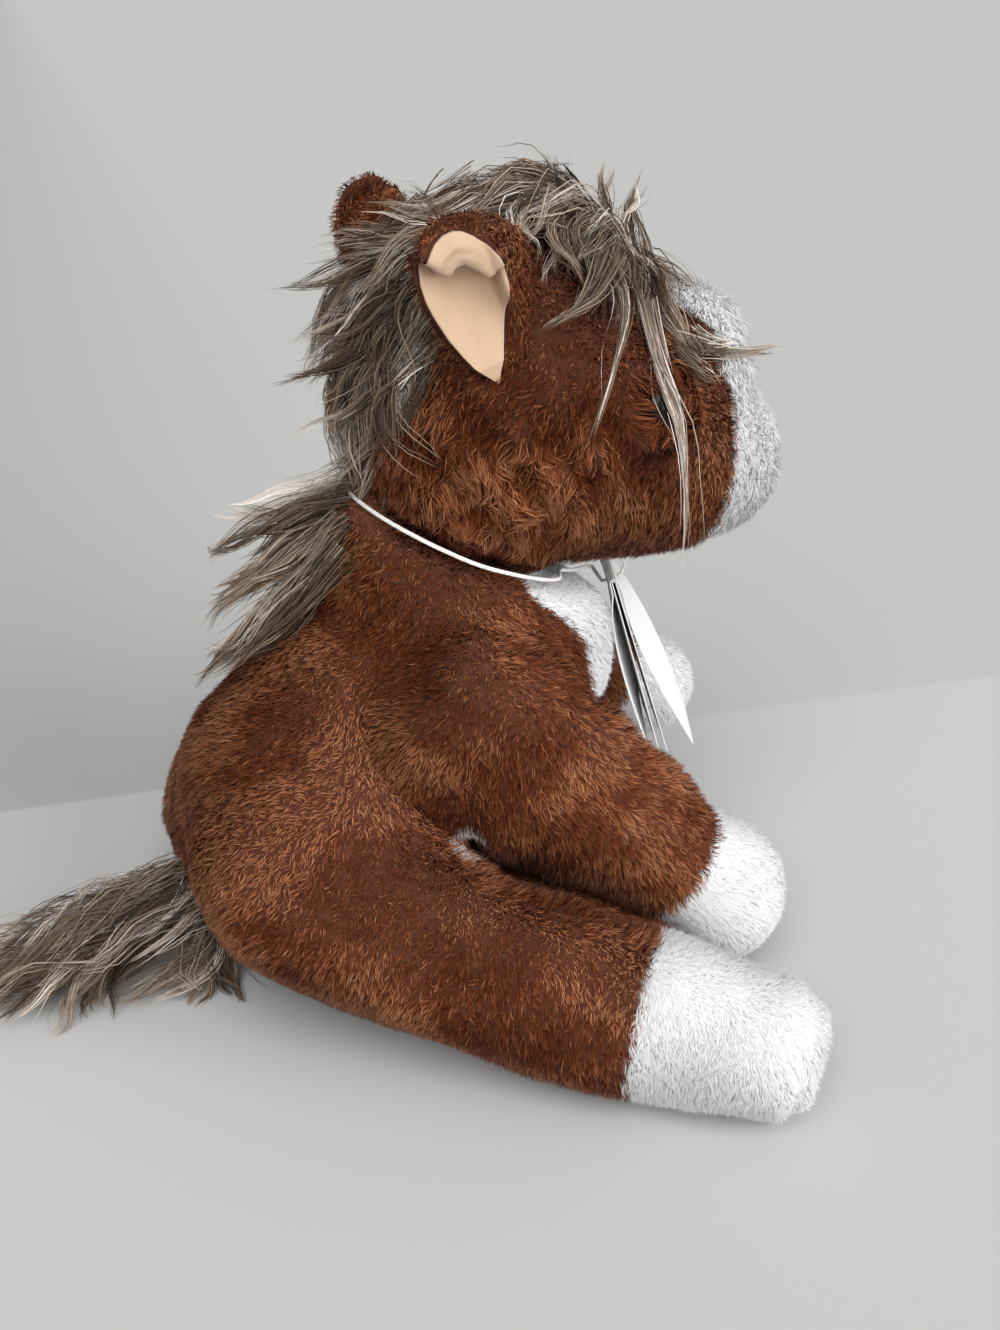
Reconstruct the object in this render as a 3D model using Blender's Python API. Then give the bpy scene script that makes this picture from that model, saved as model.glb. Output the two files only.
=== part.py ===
"""A seated plush horse, made of its sewn skins, white panels, stuffing, hair, eyes, neck cord and swing tag.

The horse faces +X, its left side is +Y and it sits on the plane z = 0. Lengths are in metres.
Every soft form is swept through ellipses. A ring's angle starts at the horse's left side and turns
over its back or its top, so 90 degrees is the back, 180 the right side and 270 the front or the underside.
"""
import math

import bmesh
import bpy
import numpy as np
from mathutils import Matrix, Vector

# Clearances and fabric
SEAM_GAP = 0.0004
FIT_GAP = 0.0006
SKIN = 0.0025
FIBRE_GAP = 0.0018
FRONT_LEG_FIBRE_GAP = 0.0032
HIND_LEG_FIBRE_GAP = 0.0027
TOE_FIBRE_GAP = 0.0009

# Torso
TORSO_HEIGHT = 0.1715
TORSO_DEPTH = 0.180
TORSO_WIDTH = 0.112
FLANK_WIDTH = 0.104
NECK_DEPTH = 0.0827
NECK_WIDTH = 0.076
NECK_TILT = math.radians(26.6)
NECK_FORWARD_SHARE = 0.2445
PELLET_BAG_TOP_SHARE = 3.4

# Head
HEAD_LENGTH = 0.138
HEAD_HEIGHT = 0.113
HEAD_WIDTH = 0.116
HEAD_TURN = math.radians(6.0)

# Legs
FRONT_LEG_LENGTH = 0.152
FRONT_LEG_HEIGHT = 0.074
FRONT_LEG_WIDTH = 0.054
SHOULDER_FORWARD = 0.040
SHOULDER_HEIGHT = 0.1155
SHOULDER_OUT = 0.006
SHOULDER_DISC = 0.062
FRONT_LEG_PITCH = {"right": math.radians(41.0), "left": math.radians(26.0)}
FRONT_LEG_YAW = {"right": math.radians(2.0), "left": math.radians(7.5)}
HIND_LEG_LENGTH = 0.187
HIND_LEG_WIDTH = 0.083
HAUNCH_BACK = 0.028
HAUNCH_OUT = 0.006
HIP_BACK = 0.050
HIND_LEG_SPLAY = math.radians(31.2)

# Ears
EAR_LENGTH = 0.056
EAR_WIDTH = 0.043
EAR_CUP = 0.011
EAR_PLUSH = 0.0022
EAR_VELOUR = 0.0012
EAR_LINING_GAP = 0.0009
EAR_STAND_OFF = 0.0008

# Eyes
EYE_RADIUS = 0.0085
EYE_HEIGHT = 0.0052
EYE_STAND_OFF = 0.0010
SHANK_RADIUS = 0.0018
WASHER_RADIUS = 0.0060
WASHER_THICKNESS = 0.0012
WASHER_DEPTH = 0.0018

# Hair
FORELOCK_THICKNESS = 0.015
MANE_THICKNESS = 0.023
WITHERS_THICKNESS = 0.024
HAIR_EDGE = 0.0022
HAIR_GAP = 0.0011
TAIL_LENGTH = 0.127
TAIL_ROOT_HEIGHT = 0.050
TAIL_RADIUS = 0.020

# Neck cord
CORD_RADIUS = 0.00075
CORD_POINTS = 80
CORD_RING_POINTS = 18
CORD_STAND_OFF = 0.0020
CORD_CHEST_LIFT = 0.0019
CORD_THROAT_REACH = 0.010
CORD_THROAT_LIFT = 0.0030
CORD_THROAT_ANGLES = (math.radians(259.0), math.radians(281.0))
CORD_LOOP_ANGLES = (math.radians(265.0), math.radians(273.0))

# The cord's way through the tag's hole and back over its fold, as shares of the drop from fold to hole:
# ahead and above, counted from the hole.
CORD_LOOP_SHARES = ((-0.90, 1.20), (-0.80, 0.35), (-0.42, -0.06), (0.45, 0.00), (1.00, 0.45), (0.95, 1.10),
                    (0.40, 1.60), (-0.50, 1.75))

# Swing tag
TAG_LENGTH = 0.080
TAG_WIDTH = 0.042
PAPER = 0.0004
TAG_FOLD_RADIUS = 0.0017
TAG_HOLE_DROP = 0.0065
TAG_HOLE_RADIUS = 0.0024
TAG_REACH = 0.0306
TAG_LIFT = 0.0070
TAG_SIDE = 0.012
TAG_YAW = math.radians(-13.0)
TAG_COVER_LEAN = math.radians(26.0)
TAG_BACK_LEAN = math.radians(15.0)
TAG_LEAF_SPREAD = math.radians(1.3)

# How far a cutter reaches past what it cuts, and how near two corners are one
OVERRUN = 0.004
MERGE_DISTANCE = SEAM_GAP / 100.0

# Colour and roughness
PLUSH_BROWN = ((0.195, 0.062, 0.026), 0.85)
PLUSH_WHITE = ((0.82, 0.82, 0.80), 0.85)
VELOUR_TAN = ((0.77, 0.58, 0.38), 0.90)
HAIR_TAUPE = ((0.24, 0.19, 0.145), 0.60)
FIBRE_WHITE = ((0.86, 0.86, 0.84), 0.95)
BAG_CLOTH = ((0.70, 0.66, 0.60), 0.90)
EYE_BLACK = ((0.010, 0.009, 0.009), 0.12)
WASHER_PLASTIC = ((0.75, 0.75, 0.74), 0.40)
ELASTIC_WHITE = ((0.85, 0.85, 0.83), 0.60)
PAPER_WHITE = ((0.83, 0.83, 0.82), 0.55)

# Torso rings as shares: back forward, back up, front forward, front up, half-width.
# Forward follows TORSO_DEPTH, up follows TORSO_HEIGHT and the width follows TORSO_WIDTH.
TORSO_SHARES = (
    (-0.042, 0.000, -0.042, 0.000, 0.000),
    (-0.250, 0.000, 0.167, 0.000, 0.714),
    (-0.339, 0.070, 0.244, 0.070, 0.893),
    (-0.378, 0.187, 0.317, 0.187, 0.982),
    (-0.383, 0.303, 0.400, 0.303, 1.000),
    (-0.367, 0.437, 0.500, 0.437, 1.000),
    (-0.322, 0.571, 0.578, 0.548, 0.964),
    (-0.239, 0.706, 0.611, 0.665, 0.911),
    (-0.139, 0.834, 0.606, 0.776, 0.839),
    (-0.044, 0.968, 0.550, 0.851, 0.759),
)

# Head rings after the neck's, as shares counted from the middle of the neck seam:
# top forward, top up, jaw forward, jaw up, half-width. The last row is the tip of the nose.
HEAD_SHARES = (
    (-0.260, 0.398, 0.283, -0.146, 0.759),
    (-0.188, 0.690, 0.312, -0.142, 0.879),
    (-0.043, 0.912, 0.348, -0.146, 0.966),
    (0.145, 1.000, 0.399, -0.155, 1.000),
    (0.348, 0.947, 0.464, -0.164, 0.983),
    (0.536, 0.814, 0.551, -0.168, 0.914),
    (0.688, 0.646, 0.659, -0.159, 0.810),
    (0.819, 0.478, 0.761, -0.133, 0.690),
    (0.920, 0.363, 0.848, -0.088, 0.552),
    (0.975, 0.248, 0.920, -0.009, 0.328),
    (1.000, 0.120, 1.000, 0.120, 0.000),
)

# Front leg rings as shares: along the leg, half-height, half-width.
FRONT_LEG_SHARES = (
    (-0.212, 0.000, 0.000),
    (-0.181, 0.486, 0.460),
    (-0.106, 0.784, 0.740),
    (0.000, 0.946, 0.889),
    (0.175, 1.000, 0.980),
    (0.338, 0.960, 0.960),
    (0.500, 0.838, 0.930),
    (0.650, 0.689, 0.907),
    (0.750, 0.730, 0.963),
    (0.850, 0.757, 0.980),
    (0.925, 0.649, 0.889),
    (0.978, 0.405, 0.556),
    (1.000, 0.000, 0.000),
)
FRONT_FOOT_SEAM_SHARE = 7.0

# Hind leg rings as shares: along the leg, bow towards the belly, height of the middle, radius.
HIND_LEG_SHARES = (
    (-0.200, 0.000, 0.960, 0.000),
    (-0.175, 0.000, 0.960, 0.440),
    (-0.105, 0.012, 0.960, 0.760),
    (0.000, 0.020, 0.960, 0.940),
    (0.163, 0.035, 0.960, 0.972),
    (0.416, 0.016, 0.843, 0.855),
    (0.668, 0.005, 0.733, 0.745),
    (0.763, 0.002, 0.683, 0.695),
    (0.868, 0.000, 0.653, 0.660),
    (0.942, 0.000, 0.625, 0.625),
    (0.984, 0.000, 0.615, 0.505),
    (1.000, 0.000, 0.610, 0.270),
    (1.005, 0.000, 0.605, 0.000),
)
HIND_FOOT_SEAM_SHARE = 6.0
HIND_SOLE_SEAM_SHARE = 9.5

# Tail rings as shares of its length and of its radius: back, side, height of the middle, half-width,
# half-height. Back and side follow TAIL_LENGTH, and the height follows TAIL_ROOT_HEIGHT.
TAIL_SHARES = (
    (-0.071, 0.000, 1.020, 0.000, 0.000),
    (-0.055, 0.000, 1.015, 0.250, 0.250),
    (0.000, 0.000, 1.000, 0.450, 0.450),
    (0.130, -0.020, 0.850, 0.720, 0.720),
    (0.311, -0.070, 0.560, 0.900, 0.850),
    (0.484, -0.140, 0.360, 1.000, 0.850),
    (0.681, -0.190, 0.250, 0.900, 0.650),
    (0.860, -0.220, 0.160, 0.550, 0.400),
    (0.930, -0.230, 0.130, 0.000, 0.000),
)
TAIL_ROOT_SHARE = 0.45

# The ear's width along its length, as shares.
EAR_LENGTH_SHARES = (0.0, 0.12, 0.30, 0.50, 0.70, 0.86, 0.96, 1.0)
EAR_WIDTH_SHARES = (0.30, 0.58, 0.86, 1.00, 0.96, 0.76, 0.46, 0.16)
EAR_LINING_SHARE = 0.80
EAR_RING_SHARE = 2.75
EAR_ANGLE = math.radians(38.0)
EAR_LEAN_BACK = {"right": math.radians(24.0), "left": math.radians(18.0)}
EAR_LEAN_OUT = {"right": math.radians(10.0), "left": math.radians(18.0)}
EAR_FACE_BACK = math.radians(8.0)

EYE_RING_SHARE = 5.05
EYE_ANGLE = math.radians(13.0)

# White panels: where they begin and end along the form, and their half-angle there.
BIB_RINGS_SHARE = (2.2, 9.99)
BIB_HALF_ANGLES = (math.radians(30.0), math.radians(27.0), math.radians(24.0), math.radians(30.0),
                   math.radians(47.0))
BLAZE_RINGS_SHARE = (4.3, 7.1)
BLAZE_HALF_ANGLES = (math.radians(11.0), math.radians(14.0), math.radians(22.0))
MUZZLE_SEAM_SHARE = 7.1

# Where each form has its rings, counted in rows of its table
SEAT_PLACES_SHARE = (0.0, 1.0, 1.5)
CHEST_PLACES_SHARE = (2.8, 3.6, 4.4, 5.2, 6.0, 6.8, 7.6, 8.4, 9.2, 10.0)
PELLET_PLACES_SHARE = (0.0, 1.0, 1.5, 2.5)
FIBRE_PLACES_SHARE = (4.4, 5.6, 6.8, 8.0, 9.0, 9.8)
NAPE_PLACES_SHARE = (0.0, 0.5, 1.1, 1.8, 2.5, 3.2, 3.8)
BROW_PLACES_SHARE = (4.9, 5.5, 6.1, 6.6)
NOSE_PLACES_SHARE = (7.7, 8.4, 9.1, 9.7, 10.4, 11.0)
HEAD_FIBRE_PLACES_SHARE = (0.1, 0.8, 1.6, 2.4, 3.2, 4.0, 4.8, 5.6, 6.4, 7.2, 8.0, 8.8, 9.6)
LEG_SEAM_CLEARANCE_SHARE = 0.4
SOLE_SEAM_CLEARANCE_SHARE = 0.2
TOE_FIBRE_SHARE = 0.5
TAIL_PLACE_STEP_SHARE = 0.8
NORMAL_STEP_SHARE = 0.02
SEAM_STEP_SHARE = 0.05

# Each hair pad's places along its form and its half-angle
FORELOCK_PLACES_SHARE = (4.7, 6.7)
FORELOCK_HALF_ANGLE = math.radians(40.0)
MANE_PLACES_SHARE = (0.25, 4.6)
MANE_HALF_ANGLE = math.radians(42.0)
WITHERS_PLACES_SHARE = (6.7, 9.3)
WITHERS_HALF_ANGLE = math.radians(24.0)
CROWN_SHARES = (0.06, 0.94)
RIB_SHARE = 0.14

# The ear's hollow along its length, as shares of half a turn, and how steeply a leg leaves the flank
EAR_BEND_SHARES = (0.15, 0.90)
FLANK_RAMP = 1.2

# A panel's seam is this many seam gaps wide at the neck
PANEL_SEAM_GAPS = 3.0

SHARP_ANGLE = math.radians(40.0)
BACK = math.radians(90.0)
FRONT = math.radians(270.0)
FULL_TURN = 2.0 * math.pi
QUARTERS = (0.25, 0.5, 0.75)


def between_rows(table, places):
    """Rows of the table at places counted in rows, on a smooth curve through all of them."""
    rows = np.asarray(table, float)
    last = len(rows) - 1
    places = np.clip(np.atleast_1d(np.asarray(places, float)), 0.0, last)
    low = np.minimum(places.astype(int), last - 1)
    step = (places - low)[:, None]
    before = np.maximum(low - 1, 0)
    after = np.minimum(low + 2, last)
    slope_low = (rows[low + 1] - rows[before]) / (low + 1 - before)[:, None]
    slope_high = (rows[after] - rows[low]) / (after - low)[:, None]
    rise = rows[low + 1] - rows[low]
    bend = 3.0 * rise - 2.0 * slope_low - slope_high
    turn = slope_low + slope_high - 2.0 * rise
    return rows[low] + step * (slope_low + step * (bend + step * turn))


class Form:
    """A soft form swept through ellipses, each with its middle, its side vector and its back vector."""

    def __init__(self, stations, press=None):
        self.stations = np.array([np.concatenate(station) for station in stations])
        self.press = press
        self.last = len(stations) - 1

    def grid(self, places, angles):
        places = np.atleast_1d(places)
        angles = np.broadcast_to(angles, (len(places), np.shape(angles)[-1]))
        rings = between_rows(self.stations, places)
        middle = rings[:, None, 0:3]
        side = rings[:, None, 3:6] * np.cos(angles)[:, :, None]
        back = rings[:, None, 6:9] * np.sin(angles)[:, :, None]
        return middle + side + back

    def normals(self, places, angles):
        small = NORMAL_STEP_SHARE
        places = np.atleast_1d(places)
        ahead = np.minimum(places + small, self.last)
        behind = np.maximum(places - small, 0.0)
        inside = np.clip(places, small, self.last - small)
        around = self.grid(inside, np.asarray(angles) + small) - self.grid(inside, np.asarray(angles) - small)
        along = self.grid(ahead, angles) - self.grid(behind, angles)
        out = np.cross(around, along)
        rings = self.grid(places, angles)
        spread = np.linalg.norm(rings - rings.mean(1, keepdims=True), axis=2).max(1)
        for row in np.flatnonzero(spread < SKIN / 2.0):
            out[row] = out[row].mean(0)
        return out / np.linalg.norm(out, axis=2, keepdims=True)

    def surface(self, places, angles, depth=0.0):
        """Points at a depth under the form, or above it where the depth is negative."""
        depth = np.asarray(depth, float)
        if depth.ndim == 2:
            depth = depth[:, :, None]
        points = self.grid(places, angles) - depth * self.normals(places, angles)
        if self.press is not None:
            points = self.press(points, depth)
        return points

    def seam(self, place):
        """Two places, one on each side of a seam round the form, a seam's gap apart."""
        step = SEAM_STEP_SHARE
        angles = np.linspace(0.0, FULL_TURN, 16, endpoint=False)
        spans = self.grid([place + step], angles) - self.grid([place - step], angles)
        half = SEAM_GAP * step / np.linalg.norm(spans, axis=2).min()
        return [place - half, place + half]

    def spot(self, place, angle, depth=0.0):
        """One point of the surface and the normal there."""
        point = self.surface([place], [angle], depth)[0, 0]
        return Vector(point), Vector(self.normals([place], [angle])[0, 0])


def ellipse_stations(rows):
    """Stations in the horse's middle plane, from back, front and half-width."""
    stations = []
    for back_x, back_z, front_x, front_z, half_width in rows:
        middle = ((back_x + front_x) / 2.0, 0.0, (back_z + front_z) / 2.0)
        side = (0.0, half_width, 0.0)
        back = ((back_x - front_x) / 2.0, 0.0, (back_z - front_z) / 2.0)
        stations.append((middle, side, back))
    return stations


def limb_stations(middles, half_widths, half_heights):
    """Stations square to the line through the middles, with the back vector as near to up as it goes."""
    middles = np.asarray(middles, float)
    lines = np.gradient(middles, axis=0)
    stations = []
    for middle, line, half_width, half_height in zip(middles, lines, half_widths, half_heights):
        line = line / np.linalg.norm(line)
        up = np.array((0.0, 0.0, 1.0)) - line[2] * line
        up = up / np.linalg.norm(up)
        side = np.cross(up, line)
        stations.append((middle, side * half_width, up * half_height))
    return stations


def add_material(name, colour, roughness):
    material = bpy.data.materials.new(name)
    material.use_nodes = True
    shader = material.node_tree.nodes["Principled BSDF"]
    shader.inputs["Base Color"].default_value = (*colour, 1.0)
    shader.inputs["Roughness"].default_value = roughness
    return material


def add_object(name, vertices, faces, look, pivot=None):
    """A mesh object whose origin is its pivot, or the horse's own origin where it has none."""
    origin = Vector(pivot["at"]) if pivot else Vector()
    mesh = bpy.data.meshes.new(name)
    mesh.from_pydata([Vector(vertex) - origin for vertex in vertices], [], faces)
    builder = bmesh.new()
    builder.from_mesh(mesh)
    bmesh.ops.remove_doubles(builder, verts=builder.verts, dist=MERGE_DISTANCE)
    bmesh.ops.recalc_face_normals(builder, faces=builder.faces)
    builder.to_mesh(mesh)
    builder.free()
    mesh.shade_smooth()
    mesh.set_sharp_from_angle(angle=SHARP_ANGLE)
    item = bpy.data.objects.new(name, mesh)
    bpy.context.scene.collection.objects.link(item)
    mesh.materials.append(add_material(name, *look))
    if pivot:
        item.parent = pivot["empty"]
    return item


def add_pivot(name, at, parent=None, turn=None):
    """An empty on a joint's axis. Its children are modelled before the turn is applied."""
    empty = bpy.data.objects.new(name, None)
    bpy.context.scene.collection.objects.link(empty)
    empty.location = Vector(at) - (Vector(parent["at"]) if parent else Vector())
    if parent:
        empty.parent = parent["empty"]
    if turn is not None:
        empty.rotation_euler = turn.to_euler()
    return {"empty": empty, "at": tuple(at)}


def shell(name, outer, inner, keep, look, pivot=None, wrap=True):
    """One closed body between two like grids, over the kept cells only."""
    rows, columns = outer.shape[:2]
    count = rows * columns
    cells = columns if wrap else columns - 1
    keep = np.broadcast_to(keep, (rows - 1, cells))

    def index(row, column):
        return row * columns + column % columns

    def kept(row, column):
        if wrap:
            column = column % cells
        if row < 0 or row > rows - 2 or column < 0 or column > cells - 1:
            return False
        return bool(keep[row, column])

    faces = []
    for row in range(rows - 1):
        for column in range(cells):
            if not kept(row, column):
                continue
            ring = [index(row, column), index(row, column + 1)]
            ring += [index(row + 1, column + 1), index(row + 1, column)]
            faces.append(ring)
            faces.append([corner + count for corner in reversed(ring)])
            neighbours = ((row - 1, column), (row, column + 1), (row + 1, column), (row, column - 1))
            for side, neighbour in enumerate(neighbours):
                if not kept(*neighbour):
                    start = ring[side]
                    end = ring[(side + 1) % 4]
                    faces.append([end, start, start + count, end + count])
    vertices = np.concatenate((outer.reshape(-1, 3), inner.reshape(-1, 3)))
    used = sorted({corner for face in faces for corner in face})
    order = {corner: place for place, corner in enumerate(used)}
    faces = clean_faces([[order[corner] for corner in face] for face in faces], vertices[used])
    return add_object(name, vertices[used], faces, look, pivot)


def clean_faces(faces, vertices):
    """The faces without corners that fall together at a pole."""
    cleaned = []
    for face in faces:
        corners = []
        for corner in face:
            reaches = [np.linalg.norm(vertices[corner] - vertices[other]) for other in corners]
            if all(reach > MERGE_DISTANCE for reach in reaches):
                corners.append(corner)
        if len(corners) > 2:
            cleaned.append(corners)
    return cleaned


def solid(name, grid, look, pivot=None):
    """One closed body inside a grid of rings, with a flat cap where an end isn't a point."""
    first = np.broadcast_to(grid[0].mean(0), grid[0].shape)[None]
    last = np.broadcast_to(grid[-1].mean(0), grid[-1].shape)[None]
    grid = np.concatenate((first, grid, last))
    rows, columns = grid.shape[:2]
    faces = []
    for row in range(rows - 1):
        for column in range(columns):
            right = (column + 1) % columns
            start = row * columns
            faces.append([start + column, start + right, start + columns + right, start + columns + column])
    vertices = grid.reshape(-1, 3)
    return add_object(name, vertices, clean_faces(faces, vertices), look, pivot)


def turned_rows(profile, frame, sides):
    """A row of points round the matrix's axis for each (radius, height)."""
    rows = []
    for radius, height in profile:
        row = []
        for angle in np.linspace(0.0, FULL_TURN, sides, endpoint=False):
            row.append(tuple(frame @ Vector((radius * math.cos(angle), radius * math.sin(angle), height))))
        rows.append(row)
    return np.array(rows)


def turned(name, profile, frame, sides, look, pivot=None):
    """A turned body from (radius, height) points, placed by a matrix."""
    return solid(name, turned_rows(profile, frame, sides), look, pivot)


def cut(target, cutter):
    """Take the cutter's space out of the target. The cutter stays in the scene as a hidden guide."""
    cutter.hide_render = True
    cutter.display_type = "WIRE"
    modifier = target.modifiers.new(cutter.name, "BOOLEAN")
    modifier.operation = "DIFFERENCE"
    modifier.object = cutter
    modifier.solver = "EXACT"


def frame_along(point, direction):
    """A matrix whose +Z lies along the direction, at the point."""
    turn = Vector(direction).to_track_quat("Z", "Y").to_matrix().to_4x4()
    return Matrix.Translation(Vector(point)) @ turn


def panel_angles(centre, half_angles, gap_angle, inside, outside):
    """Column angles for each ring: some in the panel, a gap at each seam, the others round the rest."""
    rows = []
    for half in half_angles:
        panel = np.linspace(centre - half, centre + half, inside + 1)
        rest = np.linspace(centre + half + gap_angle, centre - half - gap_angle + FULL_TURN, outside + 1)
        rows.append(np.concatenate((panel, rest)))
    return np.array(rows)


def neck_frame():
    """The middle of the neck seam, the vector to its back edge and the axis square to it."""
    middle = np.array((NECK_FORWARD_SHARE * TORSO_DEPTH, 0.0, TORSO_HEIGHT))
    back = np.array((-math.cos(NECK_TILT), 0.0, math.sin(NECK_TILT)))
    axis = np.array((math.sin(NECK_TILT), 0.0, math.cos(NECK_TILT)))
    return middle, back, axis


def press_torso(points, depth):
    """Flatten the torso on the floor, at the flanks that the legs are sewn to and under the neck seam."""
    points = points.copy()
    depth = np.broadcast_to(depth, points.shape[:2] + (1,))[:, :, 0]
    points[:, :, 2] = np.maximum(points[:, :, 2], depth)
    flank = FLANK_WIDTH / 2.0 - depth
    points[:, :, 1] = np.clip(points[:, :, 1], -flank, flank)
    middle, _, axis = neck_frame()
    above = np.maximum((points - middle) @ axis, 0.0)
    return points - above[:, :, None] * axis


def press_head(points, depth):
    """Keep the head above the neck seam."""
    middle, _, axis = neck_frame()
    below = np.minimum((points - middle) @ axis - SEAM_GAP, 0.0)
    return points - below[:, :, None] * axis


def make_torso_form():
    rows = []
    for back_x, back_z, front_x, front_z, half_width in TORSO_SHARES:
        rows.append((back_x * TORSO_DEPTH, back_z * TORSO_HEIGHT, front_x * TORSO_DEPTH,
                     front_z * TORSO_HEIGHT, half_width * TORSO_WIDTH / 2.0))
    stations = ellipse_stations(rows)
    middle, back, _ = neck_frame()
    stations.append((middle, (0.0, NECK_WIDTH / 2.0, 0.0), back * NECK_DEPTH / 2.0))
    return Form(stations, press_torso)


def make_head_form():
    middle, back, axis = neck_frame()
    rows = []
    for top_x, top_z, jaw_x, jaw_z, half_width in HEAD_SHARES:
        rows.append((middle[0] + top_x * HEAD_LENGTH, middle[2] + top_z * HEAD_HEIGHT,
                     middle[0] + jaw_x * HEAD_LENGTH, middle[2] + jaw_z * HEAD_HEIGHT,
                     half_width * HEAD_WIDTH / 2.0))
    neck = (middle + axis * SEAM_GAP, (0.0, NECK_WIDTH / 2.0, 0.0), back * NECK_DEPTH / 2.0)
    return Form([neck] + ellipse_stations(rows), press_head)


def build_torso(form):
    """Skin with the bib let into its front, the pellet bag in the seat and the fibre above it."""
    inside = 6
    outside = 18
    start, end = BIB_RINGS_SHARE
    places = np.array([*SEAT_PLACES_SHARE, *form.seam(start), *CHEST_PLACES_SHARE])
    halves = np.interp(places, np.linspace(start, end, len(BIB_HALF_ANGLES)), BIB_HALF_ANGLES)
    gap_angle = PANEL_SEAM_GAPS * SEAM_GAP / NECK_WIDTH
    angles = panel_angles(FRONT, halves, gap_angle, inside, outside)
    outer = form.surface(places, angles)
    inner = form.surface(places, angles, SKIN)
    columns = np.arange(angles.shape[1])
    bib_columns = columns < inside
    seam_columns = (columns == inside) | (columns == angles.shape[1] - 1)
    bib_rows = (places[:-1] >= start)[:, None]
    seam_row = ((places[:-1] < start) & (places[1:] > start))[:, None]
    bib = bib_rows & bib_columns
    apart = (bib_rows & seam_columns) | (seam_row & (bib_columns | seam_columns))
    shell("torso_skin", outer, inner, ~(bib | apart), PLUSH_BROWN)
    shell("chest_bib", outer, inner, bib, PLUSH_WHITE)

    angles = np.linspace(0.0, FULL_TURN, 20, endpoint=False)
    depth = SKIN + FIBRE_GAP
    split = PELLET_BAG_TOP_SHARE
    low = form.surface([*PELLET_PLACES_SHARE, split], angles, depth)
    solid("pellet_bag", low, BAG_CLOTH)
    high = form.surface([form.seam(split)[1] + SEAM_GAP / TORSO_HEIGHT, *FIBRE_PLACES_SHARE], angles, depth)
    high[:, :, 2] = np.maximum(high[:, :, 2], low[-1, :, 2].max() + FIT_GAP)
    solid("torso_stuffing", high, FIBRE_WHITE)


def build_head(form, pivot):
    """Skin with the blaze let into its top, the muzzle sewn on in front, and the fibre inside."""
    inside = 4
    outside = 20
    start, end = BLAZE_RINGS_SHARE
    seam = form.seam(MUZZLE_SEAM_SHARE)
    places = np.array([*NAPE_PLACES_SHARE, *form.seam(start), *BROW_PLACES_SHARE, *seam])
    halves = np.interp(places, np.linspace(start, end, len(BLAZE_HALF_ANGLES)), BLAZE_HALF_ANGLES)
    gap_angle = PANEL_SEAM_GAPS * SEAM_GAP / NECK_WIDTH
    angles = panel_angles(BACK, halves, gap_angle, inside, outside)
    outer = form.surface(places, angles)
    inner = form.surface(places, angles, SKIN)
    columns = np.arange(angles.shape[1])
    blaze_columns = columns < inside
    seam_columns = (columns == inside) | (columns == angles.shape[1] - 1)
    head_rows = (places[:-1] < seam[0])[:, None]
    blaze_rows = head_rows & (places[:-1] >= start)[:, None]
    seam_row = ((places[:-1] < start) & (places[1:] > start))[:, None]
    blaze = blaze_rows & blaze_columns
    apart = (blaze_rows & seam_columns) | (seam_row & (blaze_columns | seam_columns))
    skin = shell("head_skin", outer, inner, head_rows & ~(blaze | apart), PLUSH_BROWN, pivot)
    shell("blaze", outer, inner, blaze, PLUSH_WHITE, pivot)

    angles = np.linspace(0.0, FULL_TURN, 22, endpoint=False)
    places = np.array([seam[1], *NOSE_PLACES_SHARE])
    outer = form.surface(places, angles)
    inner = form.surface(places, angles, SKIN)
    shell("muzzle", outer, inner, True, PLUSH_WHITE, pivot)

    angles = np.linspace(0.0, FULL_TURN, 20, endpoint=False)
    fibre = form.surface(HEAD_FIBRE_PLACES_SHARE, angles, SKIN + FIBRE_GAP)
    stuffing = solid("head_stuffing", fibre, FIBRE_WHITE, pivot)
    return skin, stuffing


def build_eye(side, form, pivot, skin, stuffing):
    """A domed eye whose shank goes through the plush into a washer that locks it."""
    angle = EYE_ANGLE if side == "left" else math.pi - EYE_ANGLE
    point, normal = form.spot(EYE_RING_SHARE, angle)
    frame = frame_along(point + normal * EYE_STAND_OFF, normal)
    washer_front = -(EYE_STAND_OFF + SKIN + WASHER_DEPTH)
    washer_back = washer_front - WASHER_THICKNESS
    shank_end = washer_back - WASHER_DEPTH
    profile = [(SHANK_RADIUS, shank_end), (SHANK_RADIUS, 0.0), (EYE_RADIUS, 0.0)]
    for step in QUARTERS:
        rise = step * math.pi / 2.0
        profile.append((EYE_RADIUS * math.cos(rise), EYE_HEIGHT * math.sin(rise)))
    profile.append((0.0, EYE_HEIGHT))
    turned(side + "_eye", profile, frame, 16, EYE_BLACK, pivot)

    bore = SHANK_RADIUS + SEAM_GAP
    ring = [(bore, washer_back), (bore, washer_front)]
    ring += [(WASHER_RADIUS, washer_front), (WASHER_RADIUS, washer_back)]
    columns = 14
    rows = turned_rows(ring, frame, columns)
    grid = np.concatenate((rows, rows[:1]))
    faces = []
    for row in range(len(ring)):
        for column in range(columns):
            right = (column + 1) % columns
            start = row * columns
            faces.append([start + column, start + right, start + columns + right, start + columns + column])
    add_object(side + "_eye_washer", grid.reshape(-1, 3), faces, WASHER_PLASTIC, pivot)

    hole = [(bore, -(EYE_STAND_OFF + SKIN + OVERRUN)), (bore, OVERRUN)]
    cut(skin, turned(side + "_shank_hole", hole, frame, 12, WASHER_PLASTIC, pivot))
    room = WASHER_RADIUS + FIT_GAP
    pocket = [(room, shank_end - FIT_GAP), (room, OVERRUN)]
    cut(stuffing, turned(side + "_washer_room", pocket, frame, 12, WASHER_PLASTIC, pivot))


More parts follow.
